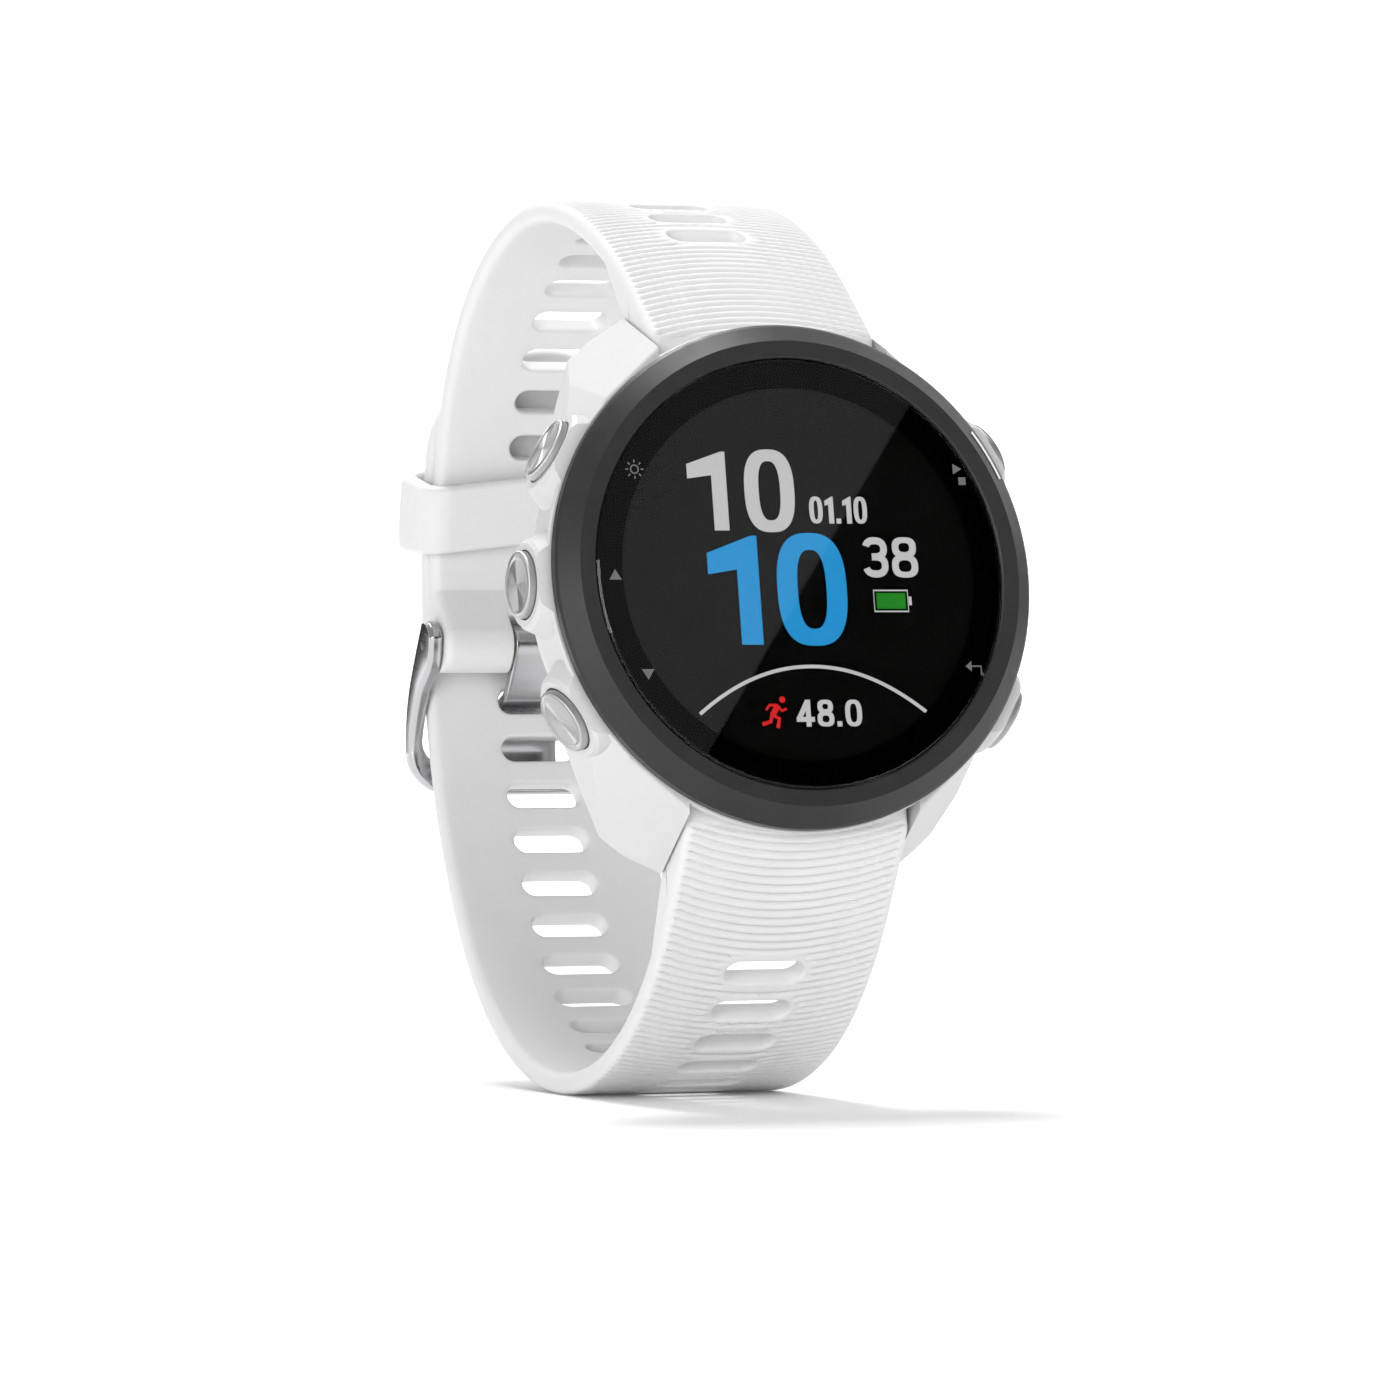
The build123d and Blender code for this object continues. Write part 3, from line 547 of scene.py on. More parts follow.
def slot_loop(centre, grow):
    """Points of a slot's outline, grown outwards."""
    radius, run = SLOT_W / 2 + grow, (SLOT_L - SLOT_W) / 2
    turns = np.linspace(-pi / 2, pi / 2, 15)
    right = [(centre + radius * sin(a), run + radius * cos(a)) for a in turns]
    left = [(centre - radius * sin(a), -run - radius * cos(a)) for a in turns]
    across = np.linspace(run, -run, 13)[1:-1]
    upper, lower = [(centre + radius, x) for x in across], [(centre - radius, -x) for x in across]
    return np.array(right + upper + left + lower)


def chain(first, count, closed=False):
    """Pairs that join each point of an outline to the next."""
    return [(first + n, first + (n + 1) % count) for n in range(count if closed else count - 1)]


def band(outer, inner, slots, ribs_from, ribs_to, tip_at=None, notch_to=None, z_sign=1):
    """One strap half: a ribbed outer sheet and a smooth inner one, rounded edges, slots, and either a
    half-round tip at its start or a notch for the tongue."""
    total = outer.end
    columns = [HALF - d for d in ring_steps(EDGE_ROUND)] + [8.75, 8.1, 7.3, 6.4, 5.5, 4.6, 3.6, 2.4, 1.2]
    columns = np.array([-c for c in columns] + [0.0] + columns[::-1])
    grooves = RIB_PITCH * np.arange(-4, int(total / RIB_PITCH) + 2)
    rows = np.concatenate([grooves + sample for sample in RIB_SAMPLES])
    s = np.add.outer(rows, RIB_BOW * (columns / HALF) ** 2)
    x = np.broadcast_to(columns, s.shape)
    grid = np.stack([s.ravel(), x.ravel()], 1)
    grid = grid[(grid[:, 0] > 0.08) & (grid[:, 0] < total - 0.08)]

    def tip_distance(s, x):
        return np.where(s < tip_at + HALF, HALF - np.hypot(s - tip_at - HALF, x), HALF - abs(x))

    def notch_distance(s, x):
        return np.maximum(abs(x) - NOTCH_HALF, s - notch_to)

    def edge_distance(s, x):
        return HALF - abs(x) if tip_at is None else tip_distance(s, x)

    loops, edges = [], []

    def add(rings, closed=False):
        """An outline and the rings that echo it; only the outline itself is kept as edges."""
        edges.extend(chain(sum(map(len, loops)), len(rings[0]), closed))
        loops.extend(rings)

    def tip_ring(radius):
        turns = np.linspace(pi / 2, 3 * pi / 2, 121)
        return np.array([(tip_at + HALF + radius * cos(a), radius * sin(a)) for a in turns])

    def notch_ring(half, top):
        up = [(d, half) for d in np.arange(0, top, 0.25)]
        across = [(top, c) for c in np.linspace(half, -half, 25)]
        return np.array(up + across + [(d, -h) for d, h in up[::-1]])

    for centre in slots:
        add([slot_loop(centre, step) for step in ring_steps(SLOT_ROUND, 3)], closed=True)
    if tip_at is None:
        loops.append(np.array([(end, c) for end in (0.0, total) for c in columns]))
    else:
        add([tip_ring(HALF - step) for step in ring_steps(EDGE_ROUND)])
        loops.append(np.array([(total, c) for c in columns]))
    if notch_to is not None:
        add([notch_ring(NOTCH_HALF + step, notch_to + step) for step in ring_steps(SLOT_ROUND, 3)])

    free = edge_distance(grid[:, 0], grid[:, 1]) > (EDGE_ROUND * 1.1 if tip_at is not None else -1)
    free |= (grid[:, 0] > (tip_at or 0) + HALF) & (tip_at is not None)
    for centre in slots:
        free &= slot_distance(grid[:, 0], grid[:, 1], centre) > SLOT_ROUND + 0.06
    if notch_to is not None:
        free &= notch_distance(grid[:, 0], grid[:, 1]) > SLOT_ROUND + 0.06
    flat = np.vstack(loops + [grid[free]])

    def kept(s, x):
        inside = (edge_distance(s, x) > 0) & (s > 0) & (s < total)
        for centre in slots:
            inside &= slot_distance(s, x, centre) > 0
        if notch_to is not None:
            inside &= notch_distance(s, x) > 0
        return inside

    def rounding(s, x):
        drop = fall(np.maximum(edge_distance(s, x), 0), EDGE_ROUND)
        for centre in slots:
            drop = np.maximum(drop, fall(np.maximum(slot_distance(s, x, centre), 0), SLOT_ROUND))
        if notch_to is not None:
            near = fall(np.maximum(notch_distance(s, x), 0), SLOT_ROUND)
            drop = np.maximum(drop, near * smoothstep(0.0, 1.0, s))
        thin = np.ones_like(s) if tip_at is not None else smoothstep(0.0, 2.0, s)
        return drop * thin

    def ribs(s, x):
        across = (s - RIB_BOW * (x / HALF) ** 2) % RIB_PITCH
        across = np.minimum(across, RIB_PITCH - across)
        groove = np.exp(-(across / GROOVE_WIDTH) ** 2) + 0.08 * (1 + np.cos(2 * pi * across / RIB_PITCH))
        fade = smoothstep(0.25, 0.8, edge_distance(s, x)) * smoothstep(ribs_from - 0.5, ribs_from + 0.5, s)
        fade *= 1 - smoothstep(ribs_to - 0.4, ribs_to + 0.4, s)
        for centre in slots:
            fade = fade * smoothstep(0.4, 0.85, slot_distance(s, x, centre))
        return -GROOVE_DEPTH * groove * fade

    def against_case(sheet):
        x, y, z = sheet.T
        wall = np.sqrt(np.maximum(CASE_WALL ** 2 - x ** 2, 0))
        near_case = (y < 12) & (abs(z) < wall)
        return np.stack([x, y, np.where(near_case, z_sign * wall, z)], 1)

    def outer_lift(s, x):
        return ribs(s, x) - rounding(s, x)

    return plate(outer, inner, flat, edges, kept, outer_lift, rounding, against_case)


KNOB_TILT = 30.0
WINDOW_X, WINDOW_DEPTH, WINDOW_HALF = (-9.6, -6.95), (0.2, 4.4), 0.8


def knob_window(sign):
    """The window that the quick-release knob slides in, through the hub's wrist side."""
    tilt = radians(KNOB_TILT)
    lean = np.array([cos(tilt), -sign * sin(tilt)])
    across = np.array([sign * sin(tilt), cos(tilt)])
    bar = np.array([BAR_Y, sign * BAR_Z])
    corners = [bar + lean * a + across * b for a in WINDOW_DEPTH for b in (-WINDOW_HALF, WINDOW_HALF)]
    points = [(x, *c) for x in WINDOW_X for c in corners]
    faces = [(0, 1, 3, 2), (4, 6, 7, 5), (0, 4, 5, 1), (2, 3, 7, 6), (0, 2, 6, 4), (1, 5, 7, 3)]
    return mesh_of(points, faces)


def lower_strap():
    arcs = arcs_of(LONG_APEX, LONG_RADII, LONG_TURNS)
    lug_outer, lug_inner = lug_segments(arcs[-1])
    turn = degrees(asin(TAIL_END / TAIL_RADIUS))
    tail_y = LONG_APEX - TAIL_RADIUS
    outer = [arc(tail_y, 0, TAIL_RADIUS, -turn, 0)] + [arc(*a) for a in arcs[:-1]] + lug_outer
    inner = [arc(tail_y, 0, TAIL_RADIUS - BAND_T, -turn, 0)]
    inner += [arc(cy, cz, radius - BAND_T, *ends) for cy, cz, radius, *ends in arcs[:-1]] + lug_inner
    outer, inner = Track(flipped(outer), -1), Track(flipped(inner), -1)
    slots = [outer.marks[1] - LONG_FIRST_SLOT + n * SLOT_PITCH for n in range(-TAIL_SLOTS, LONG_SLOTS)]
    mesh = band(outer, inner, slots, 0.0, outer.marks[-2] + RIBS_PAST_LUG, tip_at=0.0, z_sign=-1)
    piece = new_object("strap_long", mesh, "strap_white", "watch", "lower_strap", smooth=60)
    carve(piece, knob_window(-1))


def upper_strap():
    arcs = arcs_of(SHORT_APEX, SHORT_RADII, SHORT_TURNS)
    lug_outer, lug_inner = lug_segments(arcs[-1])
    cy, cz, radius, _, first_end = arcs[0]
    eye = degrees(asin((BUCKLE_Z + 0.4) / radius))
    merge = eye + 5.5
    eye_inner = arc(BUCKLE_Y, BUCKLE_Z, EYE_R, -90, -201)
    outer = [arc(BUCKLE_Y, BUCKLE_Z, EYE_R, -90, 4), arc(cy, cz, radius, eye, merge),
             arc(cy, cz, radius, merge, first_end)]
    inner = [eye_inner, straight(eye_inner[-1], on_circle(cy, cz, radius - BAND_T, merge)),
             arc(cy, cz, radius - BAND_T, merge, first_end)]
    outer += [arc(*a) for a in arcs[1:-1]] + lug_outer
    inner += [arc(cy, cz, radius - BAND_T, *ends) for cy, cz, radius, *ends in arcs[1:-1]] + lug_inner
    outer, inner = Track(outer, 1), Track(inner, 1)
    eye_end, lug_start = outer.marks[1], outer.marks[-2]
    first_slot = eye_end - radius * radians(eye) + SHORT_FIRST_SLOT
    slots = [first_slot + n * SLOT_PITCH for n in range(SHORT_SLOTS)]
    mesh = band(outer, inner, slots, eye_end + 1.0, lug_start + RIBS_PAST_LUG, notch_to=eye_end + NOTCH_DEPTH)
    piece = new_object("strap_short", mesh, "strap_white", "watch", "upper_strap", smooth=60)
    carve(piece, knob_window(1))


# --------------------------------------------------
# Keeper, buckle and tongue
# --------------------------------------------------
KEEPER_LOW, KEEPER_HIGH = 14.6, 21.0
KEEPER_IN, KEEPER_OUT, KEEPER_WALL = 49.25, 55.3, 1.35
KEEPER_HALF = HALF + 0.25
KEEPER_CORNER, KEEPER_ROUND, KEEPER_CROWN = 1.9, 0.5, 0.12
KEEPER_SKEW = 0.12          # millimetres round the loop for each one across: it sits a little askew


def rounded_box_path(half_x, low, high, corner, spacing=0.25):
    """Closed path (x, radius) round a rectangle, with its outward normals."""
    points, normals = [], []
    corners = ((half_x, high, 0), (-half_x, high, 90), (-half_x, low, 180), (half_x, low, 270))
    for number, (cx, cr, start) in enumerate(corners):
        centre = np.array([cx - corner * np.sign(cx), cr + (corner if cr == low else -corner)])
        for a in np.radians(np.linspace(start, start + 90, 13)):
            normals.append((cos(a), sin(a)))
            points.append(centre + corner * np.array(normals[-1]))
        next_x, next_r, _ = corners[(number + 1) % 4]
        ahead = np.array([next_x - corner * np.sign(next_x), next_r + (corner if next_r == low else -corner)])
        start_point, target = points[-1], ahead + corner * np.array(normals[-1])
        for t in np.linspace(0, 1, int(np.hypot(*(target - start_point)) / spacing) + 2)[1:-1]:
            points.append(start_point + t * (target - start_point))
            normals.append(normals[-1])
    return np.array(points), np.array(normals)


def keeper():
    """Moulded loop: a band with rounded edges, swept round both layers of the strap."""
    wall, width = KEEPER_WALL / 2, (KEEPER_HIGH - KEEPER_LOW) / 2
    path, normals = rounded_box_path(KEEPER_HALF + wall, KEEPER_IN - wall, KEEPER_OUT + wall, KEEPER_CORNER)
    section, _ = rounded_box_path(wall, -width, width, KEEPER_ROUND, 0.5)
    centre_y = SHORT_APEX - SHORT_RADII[0]
    middle_r = (KEEPER_IN + KEEPER_OUT) / 2
    middle = asin((KEEPER_LOW + KEEPER_HIGH) / 2 / middle_r)
    points = []
    for (x, r), (nx, nr) in zip(path, normals):
        for a, b in section:
            crown = KEEPER_CROWN * (1 - (b / width) ** 2) if a > 0 else 0.0
            px, pr = x + nx * (a + crown), r + nr * (a + crown)
            angle = middle + (b + KEEPER_SKEW * px) / middle_r
            points.append((px, centre_y + pr * cos(angle), pr * sin(angle)))
    faces = quads(len(path), len(section), ring=True)
    new_object("keeper_loop", mesh_of(points, faces), "strap_white", "keeper", "keeper", smooth=60)


def outline_distance(s, x, outline):
    """Distance of points from an open polyline."""
    a, b = outline[:-1], outline[1:]
    along = b - a
    p = np.stack([s, x], 1)[:, None, :] - a[None]
    t = np.clip((p * along).sum(2) / (along ** 2).sum(1), 0, 1)
    return np.sqrt(((p - t[..., None] * along) ** 2).sum(2)).min(1)


def inset(outline, step):
    """An open outline moved to its left by a step, without the points that land too close to it."""
    tangent = np.gradient(outline, axis=0)
    tangent /= np.hypot(*tangent.T)[:, None]
    moved = outline + step * np.stack([-tangent[:, 1], tangent[:, 0]], 1)
    return moved[outline_distance(*moved.T, outline) > step * 0.98]


def sheet_metal(name, outer, inner, outlines, inside, rounding_r, material, body, replaced, spacing=0.22):
    """Plate between two tracks, its outlines rounded. Each outline keeps the metal on its left."""
    loops, edges = [], []
    for outline in outlines:
        edges += chain(sum(map(len, loops)), len(outline))
        loops.append(outline)
    for outline in outlines:
        loops += [inset(outline, step) for step in ring_steps(rounding_r)[1:]]
    low, high = np.vstack(outlines).min(0), np.vstack(outlines).max(0)
    across = np.arange(low[1], high[1], spacing * 1.6)
    grid = np.array([(s, x) for s in np.arange(low[0], high[0], spacing) for x in across])

    def distance(s, x):
        return np.min([outline_distance(s, x, outline) for outline in outlines], axis=0)

    grid = grid[inside(*grid.T) & (distance(*grid.T) > rounding_r * 1.15)]
    ends = np.array([(low[0], x) for x in across if inside(np.array([low[0] + 1e-3]), np.array([x]))[0]])
    flat = np.vstack(loops + [grid, ends])

    def rounding(s, x):
        return fall(distance(s, x), rounding_r)

    mesh = plate(outer, inner, flat, edges, inside, lambda s, x: -rounding(s, x), rounding)
    new_object(name, mesh, material, body, replaced, smooth=50)


FRAME_HALF, FRAME_GAP, FRAME_END, CROSSBAR_TOP = 11.4, 10.15, -7.8, -4.9
FRAME_CORNER, WINDOW_CORNER = 4.0, 2.2
TONGUE_HALF, TONGUE_T, TONGUE_CORNER = 3.2, 0.9, 2.4
CAP_R, ROLL_R = 2.13, 1.29                  # the frame's ends and the tongue's roll, round the bar
FRAME_ROUND, TONGUE_ROUND = 0.42, 0.2       # of their edges


def path_with_rounds(corners, spacing=0.15):
    """Open polyline through (s, x, radius) corners, each rounded off."""
    points = [np.array(corners[0][:2], float)]
    for before, here, after in zip(corners, corners[1:], corners[2:]):
        p, a, b = (np.array(c[:2], float) for c in (here, before, after))
        radius = here[2]
        u, v = (a - p) / np.hypot(*(a - p)), (b - p) / np.hypot(*(b - p))
        start, end, centre = p + u * radius, p + v * radius, p + (u + v) * radius
        points += list(straight_2d(points[-1], start, spacing))
        if radius:
            from_angle = atan2(*(start - centre)[::-1])
            sweep = (atan2(*(end - centre)[::-1]) - from_angle + pi) % (2 * pi) - pi
            count = max(3, int(abs(sweep) * radius / spacing))
            turns = from_angle + sweep * np.arange(1, count + 1) / count
            points += [centre + radius * np.array([cos(t), sin(t)]) for t in turns]
    points += list(straight_2d(points[-1], np.array(corners[-1][:2], float), spacing))
    return np.array(points)


def straight_2d(start, end, spacing):
    count = max(1, int(np.hypot(*(end - start)) / spacing))
    return [start + (end - start) * n / count for n in range(1, count + 1)]


def hoop_outline(end, half, corner):
    """From the start at half, round two corners at the end, and back to the start at -half."""
    return path_with_rounds([(0, half), (end, half, corner), (end, -half, corner), (0, -half)])


def buckle_frame():
    outer_cap = arc(BUCKLE_Y, BUCKLE_Z, CAP_R, 130, 82)
    inner_cap = arc(BUCKLE_Y, BUCKLE_Z, CAP_R, 130, 172)
    outer_knots = [outer_cap[-1], (61.9, 4.6), (64.2, 1.6), (65.5, -1.2), (66.2, -4.5), (65.9, FRAME_END)]
    inner_knots = [inner_cap[-1], (58.6, 2.7), (61.6, 0.75), (63.9, -2.4), (64.7, -4.9), (64.75, FRAME_END)]
    outer = Track([outer_cap, smooth_through(outer_knots)], -1)
    inner = Track([inner_cap, smooth_through(inner_knots)], -1)
    end = outer.end
    bar_top = end - (CROSSBAR_TOP - FRAME_END)
    rim = hoop_outline(end, -FRAME_HALF, FRAME_CORNER)
    window = hoop_outline(bar_top, FRAME_GAP, WINDOW_CORNER)

    def inside(s, x):
        rim_in = (s < end) & (abs(x) < FRAME_HALF) & ~corner_cut(s, x, end, FRAME_HALF, FRAME_CORNER)
        open_in = (s < bar_top) & (abs(x) < FRAME_GAP) & ~corner_cut(s, x, bar_top, FRAME_GAP, WINDOW_CORNER)
        return rim_in & ~open_in

    sheet_metal("buckle_hoop", outer, inner, [rim, window], inside, FRAME_ROUND, "buckle_steel", "buckle",
                "buckle_frame")


def corner_cut(s, x, end, half, radius):
    """Whether points lie outside the round of a corner at (end, half)."""
    over_s, over_x = s - (end - radius), abs(x) - (half - radius)
    return (over_s > 0) & (over_x > 0) & (np.hypot(over_s, over_x) > radius)


def tongue():
    """Rolled round the bar, then out through the slot and over the crossbar."""
    roll = arc(BUCKLE_Y, BUCKLE_Z, ROLL_R, -55, 228)
    knots = [roll[-1], (60.6, 1.75), (61.9, 0.55), (63.4, 0.15), (65.0, -0.4), (66.55, -2.7), (66.95, -4.8),
             (66.8, -7.5)]
    middle = Track([roll, smooth_through(knots)], -1)
    outer, inner = (Track(offset_segments(middle, len(roll), step), -1)
                    for step in (TONGUE_T / 2, -TONGUE_T / 2))
    end = outer.end
    tip = hoop_outline(end, -TONGUE_HALF, TONGUE_CORNER)

    def inside(s, x):
        return (s < end) & (abs(x) < TONGUE_HALF) & ~corner_cut(s, x, end, TONGUE_HALF, TONGUE_CORNER)

    sheet_metal("tongue_plate", outer, inner, [tip], inside, TONGUE_ROUND, "buckle_steel", "tongue", "tongue")


def offset_segments(track, first, step):
    """A track moved outwards by a step, as two segments, of which the first has that many points."""
    moved = track.points + step * track.normals
    return [moved[:first], moved[first - 1:]]


def buckle_pins():
    """Heads of the buckle's bar, one in each arm, coloured dark as painted shade of the holes they sit in."""
    for name, side in (("left", -1), ("right", 1)):
        profile = [(0, 0.07), (0.3, 0.06), (0.48, 0.03), (0.52, -0.3), (0, -0.3)]
        centre = to_row([(side * FRAME_HALF, BUCKLE_Y, BUCKLE_Z)])[0]
        turn = Vector((side, 0, 0)).to_track_quat("Z", "Y").to_matrix().to_4x4()
        new_object(f"buckle_pin_{name}", lathe(profile, 40), "pin_painted_hole_shade", "buckle", slot="steel_polished",
                   place=Matrix.Translation(Vector(centre)) @ turn)


# --------------------------------------------------
# Buttons and springs
# --------------------------------------------------
BUTTON_ANGLES = {"light": 150, "up": 180, "down": 210, "start": 30, "back": -30}
BUTTON_Y = 5.8
BUTTON_R, BUTTON_TOP, BUTTON_CAP = 2.78, 23.0, 1.2
BUTTON_ROUND, BUTTON_DISH = 0.34, 0.1
SHAFT_R = 1.5


def lathe(profile, count):
    """Solid of revolution about its own Z, from (radius, height) millimetres; both ends are on the axis."""
    turns = full_turn(count)
    points = [(r * cos(a) * MM, r * sin(a) * MM, h * MM) for r, h in profile[1:-1] for a in turns]
    rings = len(profile) - 2
    faces = quads(rings, count)
    for end, ring in ((profile[0], 0), (profile[-1], rings - 1)):
        points.append((0, 0, end[1] * MM))
        faces += [(ring * count + k, ring * count + (k + 1) % count, len(points) - 1) for k in range(count)]
    mesh = bpy.data.meshes.new("lathe")
    mesh.from_pydata(points, [], faces)
    shape = bmesh.new()
    shape.from_mesh(mesh)
    bmesh.ops.recalc_face_normals(shape, faces=shape.faces)
    shape.to_mesh(mesh)
    shape.free()
    return mesh


def round_over(r, h, radius, count=6):
    """Profile points over a convex outer corner whose square corner would be at (r, h)."""
    return [(r - radius * (1 - cos(a)), h - radius * (1 - sin(a))) for a in np.linspace(0, pi / 2, count)]


def buttons():
    low, dish = BUTTON_TOP - BUTTON_CAP, BUTTON_TOP - BUTTON_DISH
    profile = [(0, 16.4), (1.35, 16.4), (SHAFT_R, 16.55), (SHAFT_R, 16.9), (1.1, 16.9), (1.1, 17.3),
               (SHAFT_R, 17.3), (SHAFT_R, 18.9), (1.0, 18.9), (1.0, 19.55), (SHAFT_R, 19.55), (SHAFT_R, low),
               (BUTTON_R - 0.1, low), (BUTTON_R, low + 0.1)]
    profile += round_over(BUTTON_R, BUTTON_TOP, BUTTON_ROUND)
    profile += [(BUTTON_R - 0.5, BUTTON_TOP), (BUTTON_R - 0.58, BUTTON_TOP - 0.02),
                (BUTTON_R - 0.68, BUTTON_TOP - 0.09), (1.4, dish), (0.7, dish), (0.1, dish), (0, dish)]
    for name, angle in BUTTON_ANGLES.items():
        along = Vector((cos(radians(angle)), 0, sin(radians(angle))))
        axes = Matrix((Vector((0, 1, 0)), along.cross(Vector((0, 1, 0))), along)).transposed().to_4x4()
        place = dial_matrix() @ Matrix.Translation((0, BUTTON_Y * MM, 0)) @ axes
        new_object(f"push_{name}", lathe(profile, 96), "button_face", f"button_{name}", f"button_{name}",
                   smooth=30, slot="steel_polished", place=place)


def springs():
    """Coils of the springs that the joints list as deforming, each copied into a piece of its own; in the
    watch a coil shortens as its plunger comes in, and the end that lies furthest along the travel stays put.
    """
    for joint in frame["record"]["behaviour"]["joints"]:
        for sprung in joint.get("deforming_nodes", []):
            name = sprung["node"]
            mesh = NODES[name].data.copy()
            piece = new_object(name.replace("spring", "coil"), mesh, "spring_steel", "watch", name)
            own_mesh(piece)


# --------------------------------------------------
# Printed mask, dial graphics and the mark on the bezel; flat shapes are (x, z) millimetres
# --------------------------------------------------
SCREEN_R = 15.6
MASK_Y, MARK_Y, INK_Y = 0.885, 0.875, 0.96     # the mask is printed in the glass's own back


def flat_piece(name, shapes, y, material, slot):
    """Flat shapes, each (points, faces), laid at one depth behind the glass."""
    points, faces = [], []
    for outline, polygons in shapes:
        faces += [tuple(len(points) + i for i in polygon) for polygon in polygons]
        points += [(x, y, z) for x, z in outline]
    mesh = bpy.data.meshes.new(name)
    mesh.from_pydata([tuple(p) for p in to_row(points)], [], faces)
    new_object(name, mesh, material, "watch", slot=slot)


def polygon(*points):
    return list(points), [tuple(range(len(points)))]


def ribbon(path, width, closed=False):
    """A stroke of one width along a path."""
    path = np.asarray(path, float)
    ahead = np.roll(path, -1, 0) - np.roll(path, 1, 0)
    if not closed:
        ahead[0], ahead[-1] = path[1] - path[0], path[-1] - path[-2]
    ahead /= np.hypot(*ahead.T)[:, None]
    across = np.stack([-ahead[:, 1], ahead[:, 0]], 1) * width / 2
    points = np.vstack([path + across, path - across])
    count = len(path)
    return [tuple(p) for p in points], quads(2, count, loop=closed)


def ellipse_arc(cx, cz, rx, rz, start, end, count=32, power=1.0):
    """Arc of an ellipse; a power under 1 squares its shoulders."""
    turns = np.radians(np.linspace(start, end, count + 1))
    c, s = np.cos(turns), np.sin(turns)
    return np.stack([cx + rx * np.sign(c) * abs(c) ** power, cz + rz * np.sign(s) * abs(s) ** power], 1)


def dot(x, z, radius, count=24):
    return polygon(*[(x + radius * cos(a), z + radius * sin(a)) for a in full_turn(count)])


def oval(cx, cz, rx, rz, side, cap):
    """Ring between two squarish ovals, thicker at its sides than at its caps."""
    outer = ellipse_arc(cx, cz, rx, rz, 0, 360, 64, 0.75)[:-1]
    inner = ellipse_arc(cx, cz, rx - side, rz - cap, 0, 360, 64, 0.75)[:-1]
    points = [tuple(p) for p in np.vstack([outer, inner])]
    return points, quads(2, len(outer))


def digit(character, left, foot, width, height, bold):
    """One numeral of a plain narrow face, in a box."""
    cx, half, mid = left + width / 2, (width - bold) / 2, foot + height / 2
    if character == "0":
        return [oval(cx, mid, width / 2, height / 2, bold, bold * 0.78)]
    if character == "1":
        right, top = left + width, foot + height
        flag, inner = top - height * 0.16, right - bold * 1.08
        return [polygon((right, foot), (right, top), (right - bold * 0.3, top), (left, flag),
                        (left, flag - bold), (inner, top - height * 0.115 - bold), (inner, foot))]
    if character == "8":
        low, high = height * 0.285, height * 0.255
        return [oval(cx, foot + low, width / 2, low, bold, bold * 0.8),
                oval(cx, foot + height - high, width * 0.46, high, bold, bold * 0.8)]
    if character == "3":
        upper_r, lower_r = height * 0.25 - bold * 0.28, height * 0.25 - bold * 0.22
        top, bottom = foot + height - bold / 2 - upper_r, foot + bold / 2 + lower_r
        upper = ellipse_arc(cx, top, half * 0.95, upper_r, 165, -90, 30, 0.85)
        lower = ellipse_arc(cx, bottom, half, lower_r, 90, -165, 30, 0.85)
        waist = (top - upper_r + bottom + lower_r) / 2
        bar = [(cx - half * 0.35, waist), (cx + half * 0.2, waist)]
        return [ribbon(upper, bold), ribbon(lower, bold), ribbon(bar, bold)]
    stem = left + width * 0.66
    level = foot + height * 0.27
    slope = [(stem, foot + height - bold * 0.2), (left + bold * 0.45, level)]
    return [ribbon([(stem, foot), (stem, foot + height)], bold),
            ribbon([(left, level), (left + width, level)], bold * 0.92),
            ribbon(slope, bold)]


def numerals(text, left, foot, widths, height, bold, gap):
    """Numerals side by side in boxes of these widths; a point is a square as wide as the stroke."""
    shapes = []
    for character, width in zip(text, widths):
        if character == ".":
            right, top = left + bold, foot + bold
            shapes.append(polygon((left, foot), (right, foot), (right, top), (left, top)))
        else:
            shapes += digit(character, left, foot, width, height, bold)
        left += width + gap
    return shapes


def annulus(outer, inner, count=256):
    turns = full_turn(count)
    points = [(r * cos(a), r * sin(a)) for r in (outer, inner) for a in turns]
    return points, quads(2, count)


def runner(x, z, size):
    """A running figure of a head and five strokes, leaning forwards."""
    def limb(width, *joints):
        return ribbon([(x + size * px, z + size * pz) for px, pz in joints], size * width)
    return [dot(x + size * 0.30, z + size * 0.43, size * 0.105),
            limb(0.19, (0.14, 0.27), (0.03, 0.08), (-0.07, -0.08)),
            limb(0.09, (0.14, 0.25), (-0.14, 0.26), (-0.27, 0.10)),
            limb(0.09, (0.14, 0.22), (0.26, 0.07), (0.43, 0.14)),
            limb(0.125, (-0.07, -0.05), (0.16, -0.18), (0.09, -0.48)),
            limb(0.125, (-0.08, -0.06), (-0.14, -0.27), (-0.43, -0.36))]


